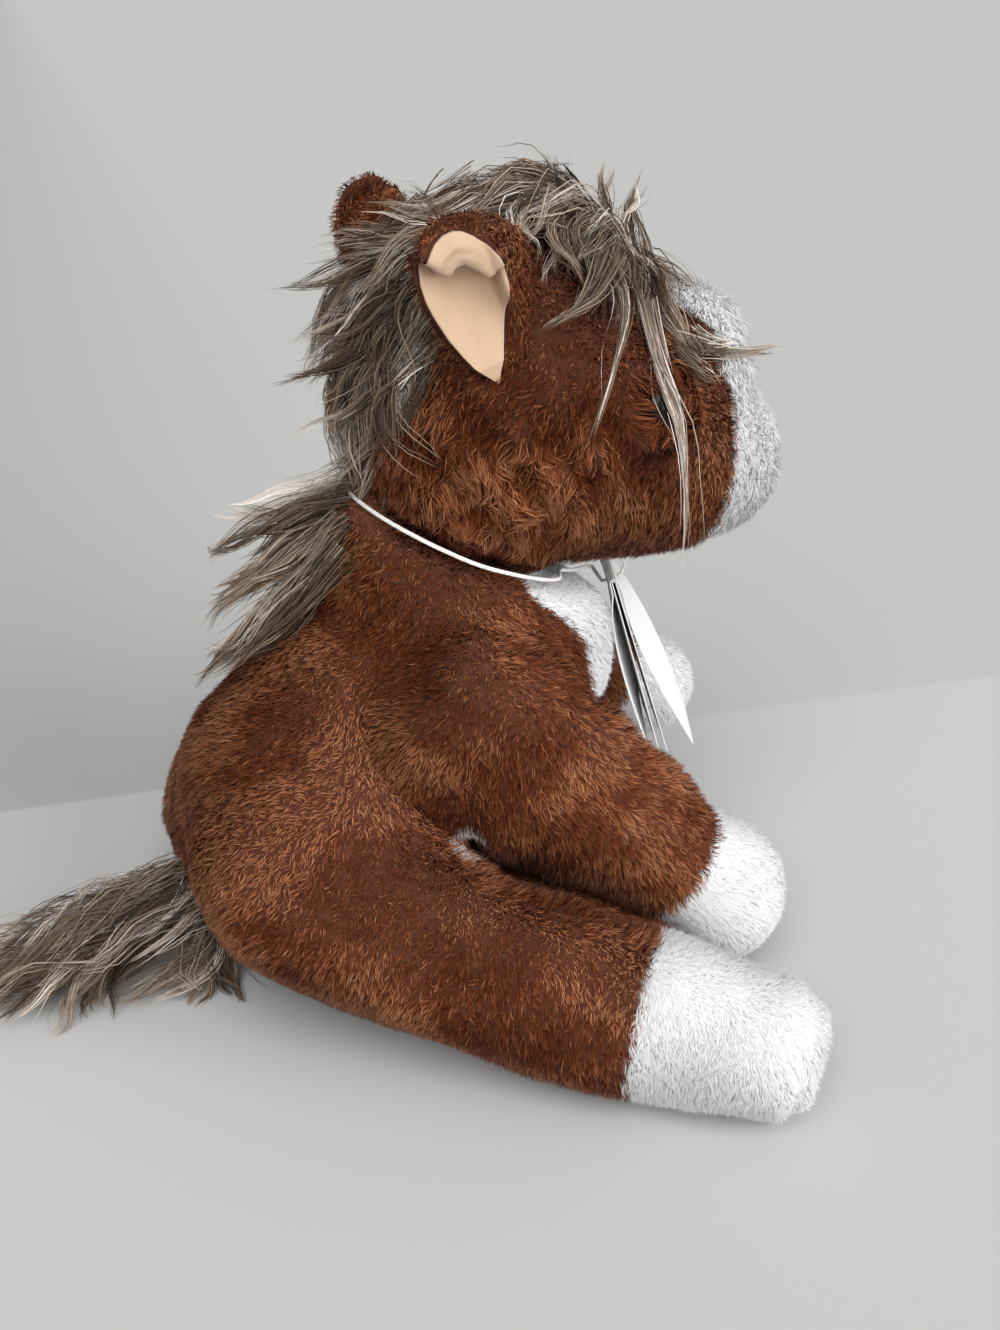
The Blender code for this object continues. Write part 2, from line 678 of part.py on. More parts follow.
def ear_frame(side, form):
    """The ear's base on the head, with its length, width and face directions."""
    sign = 1.0 if side == "left" else -1.0
    angle = EAR_ANGLE if side == "left" else math.pi - EAR_ANGLE
    point, normal = form.spot(EAR_RING_SHARE, angle)
    base = point + normal * EAR_STAND_OFF
    up = Vector((-math.tan(EAR_LEAN_BACK[side]), sign * math.tan(EAR_LEAN_OUT[side]), 1.0)).normalized()
    face = Vector((-math.sin(EAR_FACE_BACK), sign, 0.0))
    face = (face - face.dot(up) * up).normalized()
    across = up.cross(face).normalized()
    return base, up, across, face


def ear_grid(frame, width_share, depth):
    base, up, across, face = frame
    start, end = EAR_BEND_SHARES
    rows = []
    for length_share in EAR_LENGTH_SHARES:
        width = np.interp(length_share, EAR_LENGTH_SHARES, EAR_WIDTH_SHARES) * width_share * EAR_WIDTH / 2.0
        row = []
        for place in np.linspace(-1.0, 1.0, 7):
            bend = math.sin(math.pi * (start + (end - start) * length_share)) - math.sin(math.pi * start)
            hollow = EAR_CUP * (1.0 - (place * width_share) ** 2) * bend
            point = base + up * (EAR_LENGTH * length_share) + across * (width * place)
            row.append(tuple(point + face * (depth - hollow)))
        rows.append(row)
    return np.array(rows)


def build_ear(side, form, head):
    """A cupped plush ear with its velour lining, both sewn to the head at the narrow base."""
    frame = ear_frame(side, form)
    pivot = add_pivot(side + "_ear_pivot", frame[0], head)
    back = ear_grid(frame, 1.0, 0.0)
    front = ear_grid(frame, 1.0, EAR_PLUSH)
    shell(side + "_ear_outer", back, front, True, PLUSH_BROWN, pivot, wrap=False)
    lining_back = ear_grid(frame, EAR_LINING_SHARE, EAR_PLUSH + EAR_LINING_GAP)
    lining_front = ear_grid(frame, EAR_LINING_SHARE, EAR_PLUSH + EAR_LINING_GAP + EAR_VELOUR)
    shell(side + "_ear_lining", lining_back, lining_front, True, VELOUR_TAN, pivot, wrap=False)


def hair_pad(name, form, places, half_angle, thickness, locks, pivot=None):
    """A mass of long hair lying on a form: thin at its edges, thick in the middle, ribbed by its locks."""
    along = np.linspace(0.0, 1.0, 12)
    across = np.linspace(-1.0, 1.0, 11)
    rings = places[0] + (places[1] - places[0]) * along
    angles = BACK + half_angle * across
    start, end = CROWN_SHARES
    crown = np.sin(math.pi * (start + (end - start) * along))[:, None] * np.cos(math.pi / 2.0 * across)
    ribs = 1.0 + RIB_SHARE * np.cos(locks * math.pi * across)
    height = HAIR_GAP + HAIR_EDGE + thickness * crown * ribs
    outer = form.surface(rings, angles, -height)
    inner = form.surface(rings, angles, -HAIR_GAP)
    return shell(name, outer, inner, True, HAIR_TAUPE, pivot, wrap=False)


def build_leg(name, form, seam_share, sole_share, fibre_gap, pivot):
    """A leg skin, the white foot sewn on it, a sole where it has one, and the fibre inside."""
    angles = np.linspace(0.0, FULL_TURN, 16, endpoint=False)
    seam = form.seam(seam_share)
    leg_places = np.append(np.arange(0.0, seam_share - LEG_SEAM_CLEARANCE_SHARE), seam[0])
    leg = form.surface(leg_places, angles)
    shell(name + "_skin", leg, form.surface(leg_places, angles, SKIN), True, PLUSH_BROWN, pivot)
    foot_end = float(form.last)
    whole = np.arange(foot_end)
    foot_places = [seam[1], *whole[whole > seam_share + LEG_SEAM_CLEARANCE_SHARE]]
    if sole_share:
        sole_seam = form.seam(sole_share)
        foot_places = [place for place in foot_places if place < sole_share - SOLE_SEAM_CLEARANCE_SHARE]
        foot_places.append(sole_seam[0])
        sole_places = [sole_seam[1], *whole[whole > sole_share], foot_end]
        sole = form.surface(sole_places, angles)
        shell(name + "_sole", sole, form.surface(sole_places, angles, SKIN), True, PLUSH_WHITE, pivot)
    else:
        foot_places.append(foot_end)
    foot = form.surface(foot_places, angles)
    shell(name + "_foot", foot, form.surface(foot_places, angles, SKIN), True, PLUSH_WHITE, pivot)
    toe = foot_end - TOE_FIBRE_SHARE
    fibre_places = np.append(np.arange(1.0, toe), toe)
    depths = np.full((len(fibre_places), len(angles)), SKIN + fibre_gap)
    depths[-1] = SKIN + TOE_FIBRE_GAP
    fibre = form.surface(fibre_places, angles, depths)
    solid(name + "_stuffing", fibre, FIBRE_WHITE, pivot)


def press_to_flank(sign, hinge, disc):
    """Flatten a leg's root on the flank, out to a disc round its hinge, and its underside on the floor."""
    def press(points, depth):
        points = points.copy()
        depth = np.broadcast_to(depth, points.shape[:2] + (1,))[:, :, 0]
        limit = FLANK_WIDTH / 2.0 + SEAM_GAP + depth
        if disc:
            reach = np.hypot(points[:, :, 0] - hinge[0], points[:, :, 2] - hinge[2])
            limit = limit - FLANK_RAMP * np.maximum(reach - disc, 0.0)
            limit = np.where(limit > 0.0, limit, -TORSO_WIDTH)
        out = points[:, :, 1] * sign
        points[:, :, 1] = sign * np.maximum(out, limit)
        points[:, :, 2] = np.maximum(points[:, :, 2], depth)
        return points
    return press


def make_front_leg(side):
    pitch = FRONT_LEG_PITCH[side]
    yaw = FRONT_LEG_YAW[side]
    sign = 1.0 if side == "left" else -1.0
    out = FLANK_WIDTH / 2.0 + SHOULDER_OUT
    root = np.array((SHOULDER_FORWARD, sign * out, SHOULDER_HEIGHT))
    ahead = math.cos(pitch)
    line = np.array((ahead * math.cos(yaw), sign * ahead * math.sin(yaw), -math.sin(pitch)))
    middles = [root + line * (along * FRONT_LEG_LENGTH) for along, _, _ in FRONT_LEG_SHARES]
    half_heights = [share * FRONT_LEG_HEIGHT / 2.0 for _, share, _ in FRONT_LEG_SHARES]
    half_widths = [share * FRONT_LEG_WIDTH / 2.0 for _, _, share in FRONT_LEG_SHARES]
    name = side + "_front_leg"
    hinge = (SHOULDER_FORWARD, sign * FLANK_WIDTH / 2.0, SHOULDER_HEIGHT)
    form = Form(limb_stations(middles, half_widths, half_heights), press_to_flank(sign, hinge, SHOULDER_DISC))
    build_leg(name, form, FRONT_FOOT_SEAM_SHARE, None, FRONT_LEG_FIBRE_GAP, add_pivot(name + "_pivot", hinge))


def make_hind_leg(side):
    sign = 1.0 if side == "left" else -1.0
    radius = HIND_LEG_WIDTH / 2.0
    root = np.array((-HAUNCH_BACK, sign * (FLANK_WIDTH / 2.0 + HAUNCH_OUT), 0.0))
    line = np.array((math.cos(HIND_LEG_SPLAY), sign * math.sin(HIND_LEG_SPLAY), 0.0))
    inward = np.array((math.sin(HIND_LEG_SPLAY), -sign * math.cos(HIND_LEG_SPLAY), 0.0))
    middles = []
    for along, bow, height, _ in HIND_LEG_SHARES:
        flat = root + line * (along * HIND_LEG_LENGTH) + inward * (bow * HIND_LEG_LENGTH)
        middles.append(flat + np.array((0.0, 0.0, height * radius)))
    radii = [share * radius for _, _, _, share in HIND_LEG_SHARES]
    name = side + "_hind_leg"
    hinge = (-HIP_BACK, sign * FLANK_WIDTH / 2.0, radius)
    form = Form(limb_stations(middles, radii, radii), press_to_flank(sign, hinge, None))
    pivot = add_pivot(name + "_pivot", hinge)
    build_leg(name, form, HIND_FOOT_SEAM_SHARE, HIND_SOLE_SEAM_SHARE, HIND_LEG_FIBRE_GAP, pivot)


def build_tail(torso):
    """The tail's hair in one tapering mass, sewn to the rump at its root and lying on the floor behind."""
    rump = torso.spot(4.0, BACK)[0]
    root = -rump.x + SEAM_GAP + TAIL_ROOT_SHARE * TAIL_RADIUS
    middles = []
    for back, side, height, _, _ in TAIL_SHARES:
        middles.append((-root - back * TAIL_LENGTH, side * TAIL_LENGTH, height * TAIL_ROOT_HEIGHT))
    half_widths = [row[3] * TAIL_RADIUS for row in TAIL_SHARES]
    half_heights = [row[4] * TAIL_RADIUS for row in TAIL_SHARES]

    def press(points, depth):
        points = points.copy()
        points[:, :, 2] = np.maximum(points[:, :, 2], 0.0)
        points[:, :, 0] = np.minimum(points[:, :, 0], rump.x - SEAM_GAP)
        return points

    pivot = add_pivot("tail_pivot", (-root, 0.0, TAIL_ROOT_HEIGHT))
    form = Form(limb_stations(middles, half_widths, half_heights), press)
    angles = np.linspace(0.0, FULL_TURN, 14, endpoint=False)
    places = np.append(np.arange(0.0, form.last, TAIL_PLACE_STEP_SHARE), float(form.last))
    solid("tail", form.surface(places, angles), HAIR_TAUPE, pivot)


def tag_directions():
    """The tag's width direction, and its downward and forward directions at a given lean."""
    across = Vector((-math.sin(TAG_YAW), math.cos(TAG_YAW), 0.0))
    ahead = Vector((math.cos(TAG_YAW), math.sin(TAG_YAW), 0.0))

    def down(lean):
        return ahead * math.sin(lean) - Vector((0.0, 0.0, math.cos(lean)))

    def facing(lean):
        return ahead * math.cos(lean) + Vector((0.0, 0.0, math.sin(lean)))

    return across, down, facing


def tag_fold():
    """The middle of the tag's fold, ahead of the neck seam's front edge and above the chest."""
    middle, back, axis = neck_frame()
    rim = middle - back * (NECK_DEPTH / 2.0)
    return Vector(rim - back * TAG_REACH + axis * TAG_LIFT + np.array((0.0, TAG_SIDE, 0.0)))


def folded_sheet(name, radius, front_lean, back_lean, length, pivot):
    """A sheet folded over the top, with a front leaf and a back leaf."""
    across, down, facing = tag_directions()
    fold = tag_fold()

    def line(offset):
        front = fold + facing(front_lean) * offset
        back = fold - facing(back_lean) * offset
        points = [front + down(front_lean) * (length * share) for share in (1.0, 0.5, 0.0)]
        for step in QUARTERS:
            lean = front_lean + (back_lean + math.pi - front_lean) * step
            points.append(fold + facing(lean) * offset)
        points += [back + down(back_lean) * (length * share) for share in (0.0, 0.5, 1.0)]
        return points

    grids = []
    for offset in (radius, radius - PAPER):
        rows = [[tuple(point - across * TAG_WIDTH / 2.0), tuple(point + across * TAG_WIDTH / 2.0)]
                for point in line(offset)]
        grids.append(np.array(rows))
    return shell(name, grids[0], grids[1], True, PAPER_WHITE, pivot, wrap=False)


def tag_hole():
    """The middle of the hole through all the leaves, and the direction through it."""
    _, down, facing = tag_directions()
    lean = (TAG_COVER_LEAN + TAG_BACK_LEAN) / 2.0
    return tag_fold() + down(lean) * TAG_HOLE_DROP, facing(lean)


def build_tag():
    """An outer folded card and an inner folded sheet, both with the hole that the cord goes through."""
    hole, through = tag_hole()
    pivot = add_pivot("tag_pivot", hole)
    cover = folded_sheet("tag_cover_sheet", TAG_FOLD_RADIUS, TAG_COVER_LEAN, TAG_BACK_LEAN, TAG_LENGTH, pivot)
    inner = folded_sheet("tag_inner_sheet", TAG_FOLD_RADIUS - PAPER - SEAM_GAP,
                         TAG_BACK_LEAN + 2.0 * TAG_LEAF_SPREAD, TAG_BACK_LEAN + TAG_LEAF_SPREAD,
                         TAG_LENGTH - TAG_FOLD_RADIUS, pivot)
    profile = [(TAG_HOLE_RADIUS, -OVERRUN), (TAG_HOLE_RADIUS, OVERRUN)]
    cutter = turned("tag_hole", profile, frame_along(hole, through), 12, PAPER_WHITE, pivot)
    cut(cover, cutter)
    cut(inner, cutter)


def smooth_loop(points, count):
    """Evenly spaced points on a smooth closed curve through the given ones."""
    points = [tuple(point) for point in points]
    looped = np.array(list(points) + list(points[:3]))
    padded = np.concatenate((np.array([points[-1]]), looped))
    fine = between_rows(padded, np.linspace(1.0, len(points) + 1.0, 40 * len(points), endpoint=False))
    steps = np.linalg.norm(np.diff(np.concatenate((fine, fine[:1])), axis=0), axis=1)
    travelled = np.concatenate(((0.0,), np.cumsum(steps)))
    closed = np.concatenate((fine, fine[:1]))
    wanted = np.linspace(0.0, travelled[-1], count, endpoint=False)
    return np.stack([np.interp(wanted, travelled, closed[:, axis]) for axis in range(3)], 1)


def neck_spot(angle, out, up):
    """A point out from the neck seam's rim and up along its axis."""
    middle, back, axis = neck_frame()
    side = np.array((0.0, 1.0, 0.0))
    rim = side * (math.cos(angle) * NECK_WIDTH / 2.0) + back * (math.sin(angle) * NECK_DEPTH / 2.0)
    return Vector(middle + rim * (1.0 + out / np.linalg.norm(rim)) + axis * up)


def build_cord():
    """White elastic in the neck seam's crease, over the chest and through the tag's hole at the throat."""
    points = []
    start, end = CORD_THROAT_ANGLES
    for angle in np.linspace(end - FULL_TURN, start, CORD_RING_POINTS):
        chest = min(max(-2.0 * math.sin(angle), 0.0), 1.0)
        points.append(neck_spot(angle, CORD_STAND_OFF * (1.0 + chest), CORD_CHEST_LIFT * chest))
    first, last = CORD_LOOP_ANGLES
    points.append(neck_spot(first, CORD_THROAT_REACH, CORD_THROAT_LIFT))
    hole, through = tag_hole()
    up = (tag_fold() - hole).normalized()
    for ahead, above in CORD_LOOP_SHARES:
        points.append(hole + through * (ahead * TAG_HOLE_DROP) + up * (above * TAG_HOLE_DROP))
    points.append(neck_spot(last, CORD_THROAT_REACH, CORD_THROAT_LIFT))
    route = smooth_loop(points, CORD_POINTS)
    data = bpy.data.curves.new("neck_cord", "CURVE")
    data.dimensions = "3D"
    data.bevel_depth = CORD_RADIUS
    data.bevel_resolution = 2
    spline = data.splines.new("POLY")
    spline.points.add(len(route) - 1)
    for place, point in enumerate(route):
        spline.points[place].co = (*point, 1.0)
    spline.use_cyclic_u = True
    item = bpy.data.objects.new("neck_cord", data)
    bpy.context.scene.collection.objects.link(item)
    data.materials.append(add_material("neck_cord", *ELASTIC_WHITE))
    return item


def main():
    for item in list(bpy.data.objects):
        bpy.data.objects.remove(item)

    torso = make_torso_form()
    head = make_head_form()
    middle, _, axis = neck_frame()
    turn = Matrix.Rotation(HEAD_TURN, 3, Vector(axis))
    head_pivot = add_pivot("head_pivot", middle, None, turn)

    build_torso(torso)
    skin, stuffing = build_head(head, head_pivot)
    for side in ("right", "left"):
        build_eye(side, head, head_pivot, skin, stuffing)
        build_ear(side, head, head_pivot)
        make_front_leg(side)
        make_hind_leg(side)

    hair_pad("forelock", head, FORELOCK_PLACES_SHARE, FORELOCK_HALF_ANGLE, FORELOCK_THICKNESS, 5, head_pivot)
    hair_pad("mane", head, MANE_PLACES_SHARE, MANE_HALF_ANGLE, MANE_THICKNESS, 5, head_pivot)
    hair_pad("withers_tuft", torso, WITHERS_PLACES_SHARE, WITHERS_HALF_ANGLE, WITHERS_THICKNESS, 3)
    build_tail(torso)
    build_tag()
    build_cord()


main()
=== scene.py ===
# %% [markdown]
# # A plush horse in fur, hair and card
#
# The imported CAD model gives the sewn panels, the stuffing, the joints and the size. This lesson dresses it:
# soft backing forms, short pile grown blade by blade, long hair in locks, velour in the ears, an elastic
# round the neck and a folded card tag. Everything is in metres in the model's own frame, +X forward,
# +Y to the horse's left and +Z up.

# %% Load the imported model
import math

import bmesh
import bpy
import numpy as np
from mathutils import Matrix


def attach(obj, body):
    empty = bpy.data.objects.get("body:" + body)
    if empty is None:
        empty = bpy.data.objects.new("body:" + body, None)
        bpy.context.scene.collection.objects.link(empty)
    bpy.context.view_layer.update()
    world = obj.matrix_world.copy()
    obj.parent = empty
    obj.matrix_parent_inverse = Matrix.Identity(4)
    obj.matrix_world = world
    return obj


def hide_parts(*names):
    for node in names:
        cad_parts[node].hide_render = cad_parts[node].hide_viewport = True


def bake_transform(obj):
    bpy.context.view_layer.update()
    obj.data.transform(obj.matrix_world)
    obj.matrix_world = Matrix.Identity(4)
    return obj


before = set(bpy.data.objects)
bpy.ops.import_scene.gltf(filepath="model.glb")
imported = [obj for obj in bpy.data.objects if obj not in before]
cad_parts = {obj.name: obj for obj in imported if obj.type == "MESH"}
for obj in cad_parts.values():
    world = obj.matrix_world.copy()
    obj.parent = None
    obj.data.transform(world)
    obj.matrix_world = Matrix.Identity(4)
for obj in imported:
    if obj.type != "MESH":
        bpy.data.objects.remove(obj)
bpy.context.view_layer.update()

import openvdb
from mathutils import Vector
from mathutils.bvhtree import BVHTree
from mathutils.kdtree import KDTree

MM = 0.001


def ramp(values, start, width):
    """0 up to a start, and 1 from a width further on."""
    return np.clip((values - start) / width, 0.0, 1.0)


# %% [markdown]
# ## The camera
#
# The photograph looks down at the horse's right side from a little above its back, with the whole toy in a
# tall frame. A long side of 36 mm and a lens of about 41 mm give its perspective.

# %% Camera
IMAGE_HEIGHT = 1330
FOCAL_PIXELS = 1500.0

camera_data = bpy.data.cameras.new("camera")
camera_data.lens = camera_data.sensor_width * FOCAL_PIXELS / IMAGE_HEIGHT
camera = bpy.data.objects.new("camera", camera_data)
camera.location = (-0.093, -0.511, 0.362)
camera.rotation_euler = (math.radians(65.0), 0.0, math.radians(-17.0))
bpy.context.scene.collection.objects.link(camera)
bpy.context.scene.camera = camera
print("lens", round(camera_data.lens, 2))

# %% [markdown]
# ## Shader maths that reads as Python
#
# A material is a graph of nodes. Wrapping each socket in a small class lets `dark * 0.5 + 0.2` add the Math
# nodes itself, and one method adds any other node from its type, its settings and its inputs.


# %% A wrapped socket
class Socket:
    """One output of a node, with Python's operators for numbers."""

    def __init__(self, tree, output=None):
        self.tree = tree
        self.output = output

    def node(self, kind, settings=None, inputs=None, output=0):
        made = self.tree.nodes.new(kind)
        for name, value in (settings or {}).items():
            if name == "stops":
                ramp = made.color_ramp
                while len(ramp.elements) < len(value):
                    ramp.elements.new(1.0)
                for element, (place, colour) in zip(ramp.elements, value):
                    element.position = place
                    element.color = (*colour, 1.0)
            else:
                setattr(made, name, value)
        for name, value in (inputs or {}).items():
            if isinstance(value, Socket):
                self.tree.links.new(value.output, made.inputs[name])
            else:
                made.inputs[name].default_value = value
        return Socket(self.tree, made.outputs[output])

    def maths(self, operation, first, second):
        return self.node("ShaderNodeMath", {"operation": operation}, {0: first, 1: second})

    def __add__(self, other):
        return self.maths("ADD", self, other)

    def __radd__(self, other):
        return self.maths("ADD", other, self)

    def __sub__(self, other):
        return self.maths("SUBTRACT", self, other)

    def __rsub__(self, other):
        return self.maths("SUBTRACT", other, self)

    def __mul__(self, other):
        return self.maths("MULTIPLY", self, other)

    def __rmul__(self, other):
        return self.maths("MULTIPLY", other, self)

    def mix(self, first, second):
        """A colour between two, with this value as the share of the second."""
        return self.node("ShaderNodeMix", {"data_type": "RGBA"}, {0: self, 6: first, 7: second}, output=2)

    def tint(self, colour):
        """This value times a colour."""
        return self.node("ShaderNodeVectorMath", {"operation": "SCALE"}, {0: colour, "Scale": self})

    def axis(self, number):
        """One of the three numbers of this value."""
        return self.node("ShaderNodeSeparateXYZ", {}, {0: self}, output=number)

    def noise(self, scale, detail):
        """Cloudy noise from 0 to 1."""
        return self.node("ShaderNodeTexNoise", {}, {"Scale": scale, "Detail": detail})


def new_material(name, **shader):
    """A material, its empty socket to start expressions from, and its shader."""
    material = bpy.data.materials.new(name)
    material.use_nodes = True
    principled = material.node_tree.nodes["Principled BSDF"]
    for socket, value in shader.items():
        principled.inputs[socket.replace("_", " ")].default_value = value
    return material, Socket(material.node_tree), principled


def feed(principled, socket, value):
    """Link a wrapped socket to the shader."""
    value.tree.links.new(value.output, principled.inputs[socket])


def feed_bump(principled, height, strength, distance):
    """Let a wrapped socket bump the surface, by up to a distance in metres."""
    inputs = {"Strength": strength, "Distance": distance, "Height": height}
    feed(principled, "Normal", height.node("ShaderNodeBump", {}, inputs))


# %% [markdown]
# ## Fibres
#
# Each blade of pile and each hair is a thin strip of mesh. Its UV map holds two numbers: across the map lies
# the strand's own shade, and up the map the place from root to tip. A colour ramp over the second, shifted by
# the first, gives roots darkened as painted shade, tips lightened as painted light and strands that differ;
# on the chestnut pile the palest strands carry painted glints at their tips.


# %% Fibre material
def fibre_material(name, along, shades, roughness, sheen, specular, pale_or_glint_at_root):
    """Colour along the strand, darker at the root as painted shade and lighter at the tip as painted light,
    times a shade that varies from strand to strand. Its palest shades show most at the tip: painted glints on
    the pile, pale streaks on the hair.
    """
    material, start, principled = new_material(
        name, Roughness=roughness, Sheen_Weight=sheen, Specular_IOR_Level=specular)
    place = start.node("ShaderNodeUVMap", {"uv_map": "OFBake"})
    across, up = place.axis(0), place.axis(1)
    colour = start.node("ShaderNodeValToRGB", {"stops": along}, {0: up})
    plain = across.maths("MINIMUM", across, 0.6)
    pale_or_glint = across.maths("MAXIMUM", across - 0.6, 0.0) * (pale_or_glint_at_root + (1.0 - pale_or_glint_at_root) * up * up)
    shade = start.node("ShaderNodeValToRGB", {"stops": shades}, {0: plain + pale_or_glint})
    mixed = start.node("ShaderNodeMix", {"data_type": "RGBA", "blend_type": "MULTIPLY"},
                       {0: 1.0, 6: colour, 7: shade}, output=2)
    feed(principled, "Base Color", mixed)
    return material


# The chestnut pile runs from painted shade at the root to painted light at the tip, and its shades above 0.6
# are painted glints.
brown_fur = fibre_material(
    "chestnut pile",
    [(0.0, (0.085, 0.019, 0.006)), (0.40, (0.180, 0.048, 0.015)), (0.80, (0.250, 0.078, 0.027)),
     (1.0, (0.270, 0.088, 0.032))],
    [(0.0, (0.42, 0.30, 0.20)), (0.2, (0.64, 0.50, 0.40)), (0.4, (1.00, 1.02, 1.08)),
     (0.60, (1.50, 1.85, 2.20)), (1.0, (2.70, 4.50, 7.00))],
    0.6, 0.02, 0.08, 0.15)
white_fur = fibre_material(
    "white pile",
    [(0.0, (0.82, 0.82, 0.83)), (0.4, (0.82, 0.82, 0.83)), (1.0, (0.80, 0.80, 0.81))],
    [(0.0, (0.97, 0.97, 0.97)), (1.0, (1.0, 1.0, 1.0))],
    0.6, 0.1, 0.2, 1.0)
taupe_hair = fibre_material(
    "taupe hair",
    [(0.0, (0.62, 0.58, 0.54)), (0.4, (1.0, 1.0, 1.0)), (1.0, (1.25, 1.24, 1.22))],
    [(0.0, (0.036, 0.018, 0.008)), (0.30, (0.105, 0.066, 0.038)), (0.55, (0.215, 0.155, 0.106)),
     (0.80, (0.430, 0.355, 0.285)), (1.0, (0.780, 0.710, 0.650))],
    0.45, 0.05, 0.25, 1.0)

# %% [markdown]
# ## Soft forms under the pile
#
# The backing cloth follows the stuffing. Each body's stuffing becomes a field of signed distances on a grid,
# negative inside. Lowering a field swells its form, and a smooth minimum of two fields joins a leg to the
# torso with a soft web, as the sewn plush does. Ellipsoids add what the stuffing's solids lack: haunches, a
# knee, the brow, the nape and the belly between the legs. The surface at zero is then meshed again. Every leg
# keeps a form of its own.


# %% Meshes as arrays
def arrays(item):
    """The vertices, triangles and vertex normals of a mesh object."""
    mesh = item.data
    points = np.empty(len(mesh.vertices) * 3)
    mesh.vertices.foreach_get("co", points)
    normals = np.empty(len(mesh.vertices) * 3)
    mesh.vertices.foreach_get("normal", normals)
    mesh.calc_loop_triangles()
    corners = np.empty(len(mesh.loop_triangles) * 3, int)
    mesh.loop_triangles.foreach_get("vertices", corners)
    return points.reshape(-1, 3), corners.reshape(-1, 3), normals.reshape(-1, 3)


def tree_of(*items):
    """One search tree over the meshes of several objects."""
    points, faces = [], []
    for item in items:
        some, triangles, _ = arrays(item)
        faces += (triangles + len(points)).tolist()
        points += some.tolist()
    return BVHTree.FromPolygons(points, faces)


def add_object(name, mesh, material, smooth=True):
    if smooth:
        mesh.shade_smooth()
    item = bpy.data.objects.new(name, mesh)
    bpy.context.scene.collection.objects.link(item)
    mesh.materials.append(material)
    return item


def add_mesh(name, builder, material, smooth=True):
    mesh = bpy.data.meshes.new(name)
    builder.to_mesh(mesh)
    builder.free()
    return add_object(name, mesh, material, smooth)


# %% Fields of distances
CELL = 2.5 * MM
REACH = 14
GRID_LOW = (-60, -80, -12)
GRID_SHAPE = (160, 160, 140)


def field_of(*nodes):
    """Signed distances in metres to some CAD solids, on the shared grid."""
    points, faces = [], []
    for node in nodes:
        some, triangles, _ = arrays(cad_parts[node])
        faces.append(triangles + sum(len(block) for block in points))
        points.append(some)
    grid = openvdb.FloatGrid.createLevelSetFromPolygons(
        np.concatenate(points), triangles=np.concatenate(faces).astype(np.uint32),
        transform=openvdb.createLinearTransform(CELL), halfWidth=REACH)
    values = np.empty(GRID_SHAPE, np.float32)
    grid.copyToArray(values, ijk=GRID_LOW)
    return values


def soften(field, rounds):
    """Blur a field a little, which rounds the facets of the solids."""
    for _ in range(rounds):
        for axis in range(3):
            field = 0.5 * field + 0.25 * (np.roll(field, 1, axis) + np.roll(field, -1, axis))
    return field


def smooth_min(first, second, width):
    """The lower of two fields, with a soft web where they are close."""
    near = np.maximum(width - np.abs(first - second), 0.0) / width
    return np.minimum(first, second) - near * near * width * 0.25


def smooth_max(first, second, width):
    """The higher of two fields, with a soft edge where they meet."""
    return -smooth_min(-first, -second, width)


def grid_line(axis):
    """The places of the grid's cells along an axis, in metres."""
    return (np.arange(GRID_SHAPE[axis]) + GRID_LOW[axis]) * CELL


def tube(start, end, radius):
    """A field that is zero on a round bar between two points in mm."""
    axes = [grid_line(k) / MM - start[k] for k in range(3)]
    x, y, z = np.meshgrid(*axes, indexing="ij")
    a, b, c = np.subtract(end, start)
    share = np.clip((a * x + b * y + c * z) / (a * a + b * b + c * c), 0.0, 1.0)
    away = np.sqrt((x - a * share) ** 2 + (y - b * share) ** 2 + (z - c * share) ** 2)
    return (away * MM - radius).astype(np.float32)


def half_space(point, normal):
    """A field that is negative behind a plane through a point, in mm."""
    x, y, z = ((grid_line(k) - point[k] * MM) * normal[k] for k in range(3))
    return (x[:, None, None] + y[None, :, None] + z[None, None, :]).astype(np.float32)


def ellipsoid(middle, radii):
    """A field that is zero on an ellipsoid, in mm, and close to its distance nearby."""
    axes = [(grid_line(k) - middle[k] * MM) / (radii[k] * MM) for k in range(3)]
    x, y, z = np.meshgrid(*axes, indexing="ij")
    return ((np.sqrt(x * x + y * y + z * z) - 1.0) * min(radii) * MM).astype(np.float32)


DENT_MM, FOLD_MM = 0.9, 1.5


def grid_mm():
    """The places of the whole grid in mm, one array for each axis."""
    x, y, z = (grid_line(k) / MM for k in range(3))
    return x[:, None, None], y[None, :, None], z[None, None, :]


def dents(height_mm):
    """Wide shallow dents in the cloth of the torso and the legs, as a change of their fields."""
    x, y, z = grid_mm()
    wide = np.sin(0.105 * x + 0.070 * z + 0.9 * np.sin(0.05 * z + 0.04 * y) + 0.6)
    cross = np.sin(0.150 * z - 0.085 * x + 0.05 * y + 1.3 * np.sin(0.045 * x) + 2.0)
    return ((wide + 0.8 * cross) * height_mm * MM).astype(np.float32)


def folds(height_mm):
    """Soft folds of loose cloth over the cheek and the jaw, as a change of the head's field."""
    x, y, z = grid_mm()
    loose = np.exp(-((x - 62.0) / 44.0) ** 2 - ((z - 200.0) / 34.0) ** 2)
    slant = np.sin(0.30 * x + 0.16 * z + 1.2 * np.sin(0.07 * z + 0.05 * y))
    cross = np.sin(0.22 * z - 0.11 * x + 1.5 * np.sin(0.06 * x) + 0.06 * y)
    return (loose * (1.3 * slant + 1.0 * cross) * height_mm * MM).astype(np.float32)


def at_points(field, points):
    """The field at some points, between the cells."""
    place = points / CELL - np.array(GRID_LOW)
    low = np.clip(np.floor(place).astype(int), 0, np.array(GRID_SHAPE) - 2)
    part = place - low
    total = np.zeros(len(points))
    for corner in range(8):
        step = np.array((corner & 1, corner >> 1 & 1, corner >> 2))
        weight = np.where(step == 1, part, 1.0 - part).prod(1)
        total += weight * field[tuple((low + step).T)]
    return total


FORM_FLOOR = 1.2 * MM
SMOOTHING_ROUNDS = 3


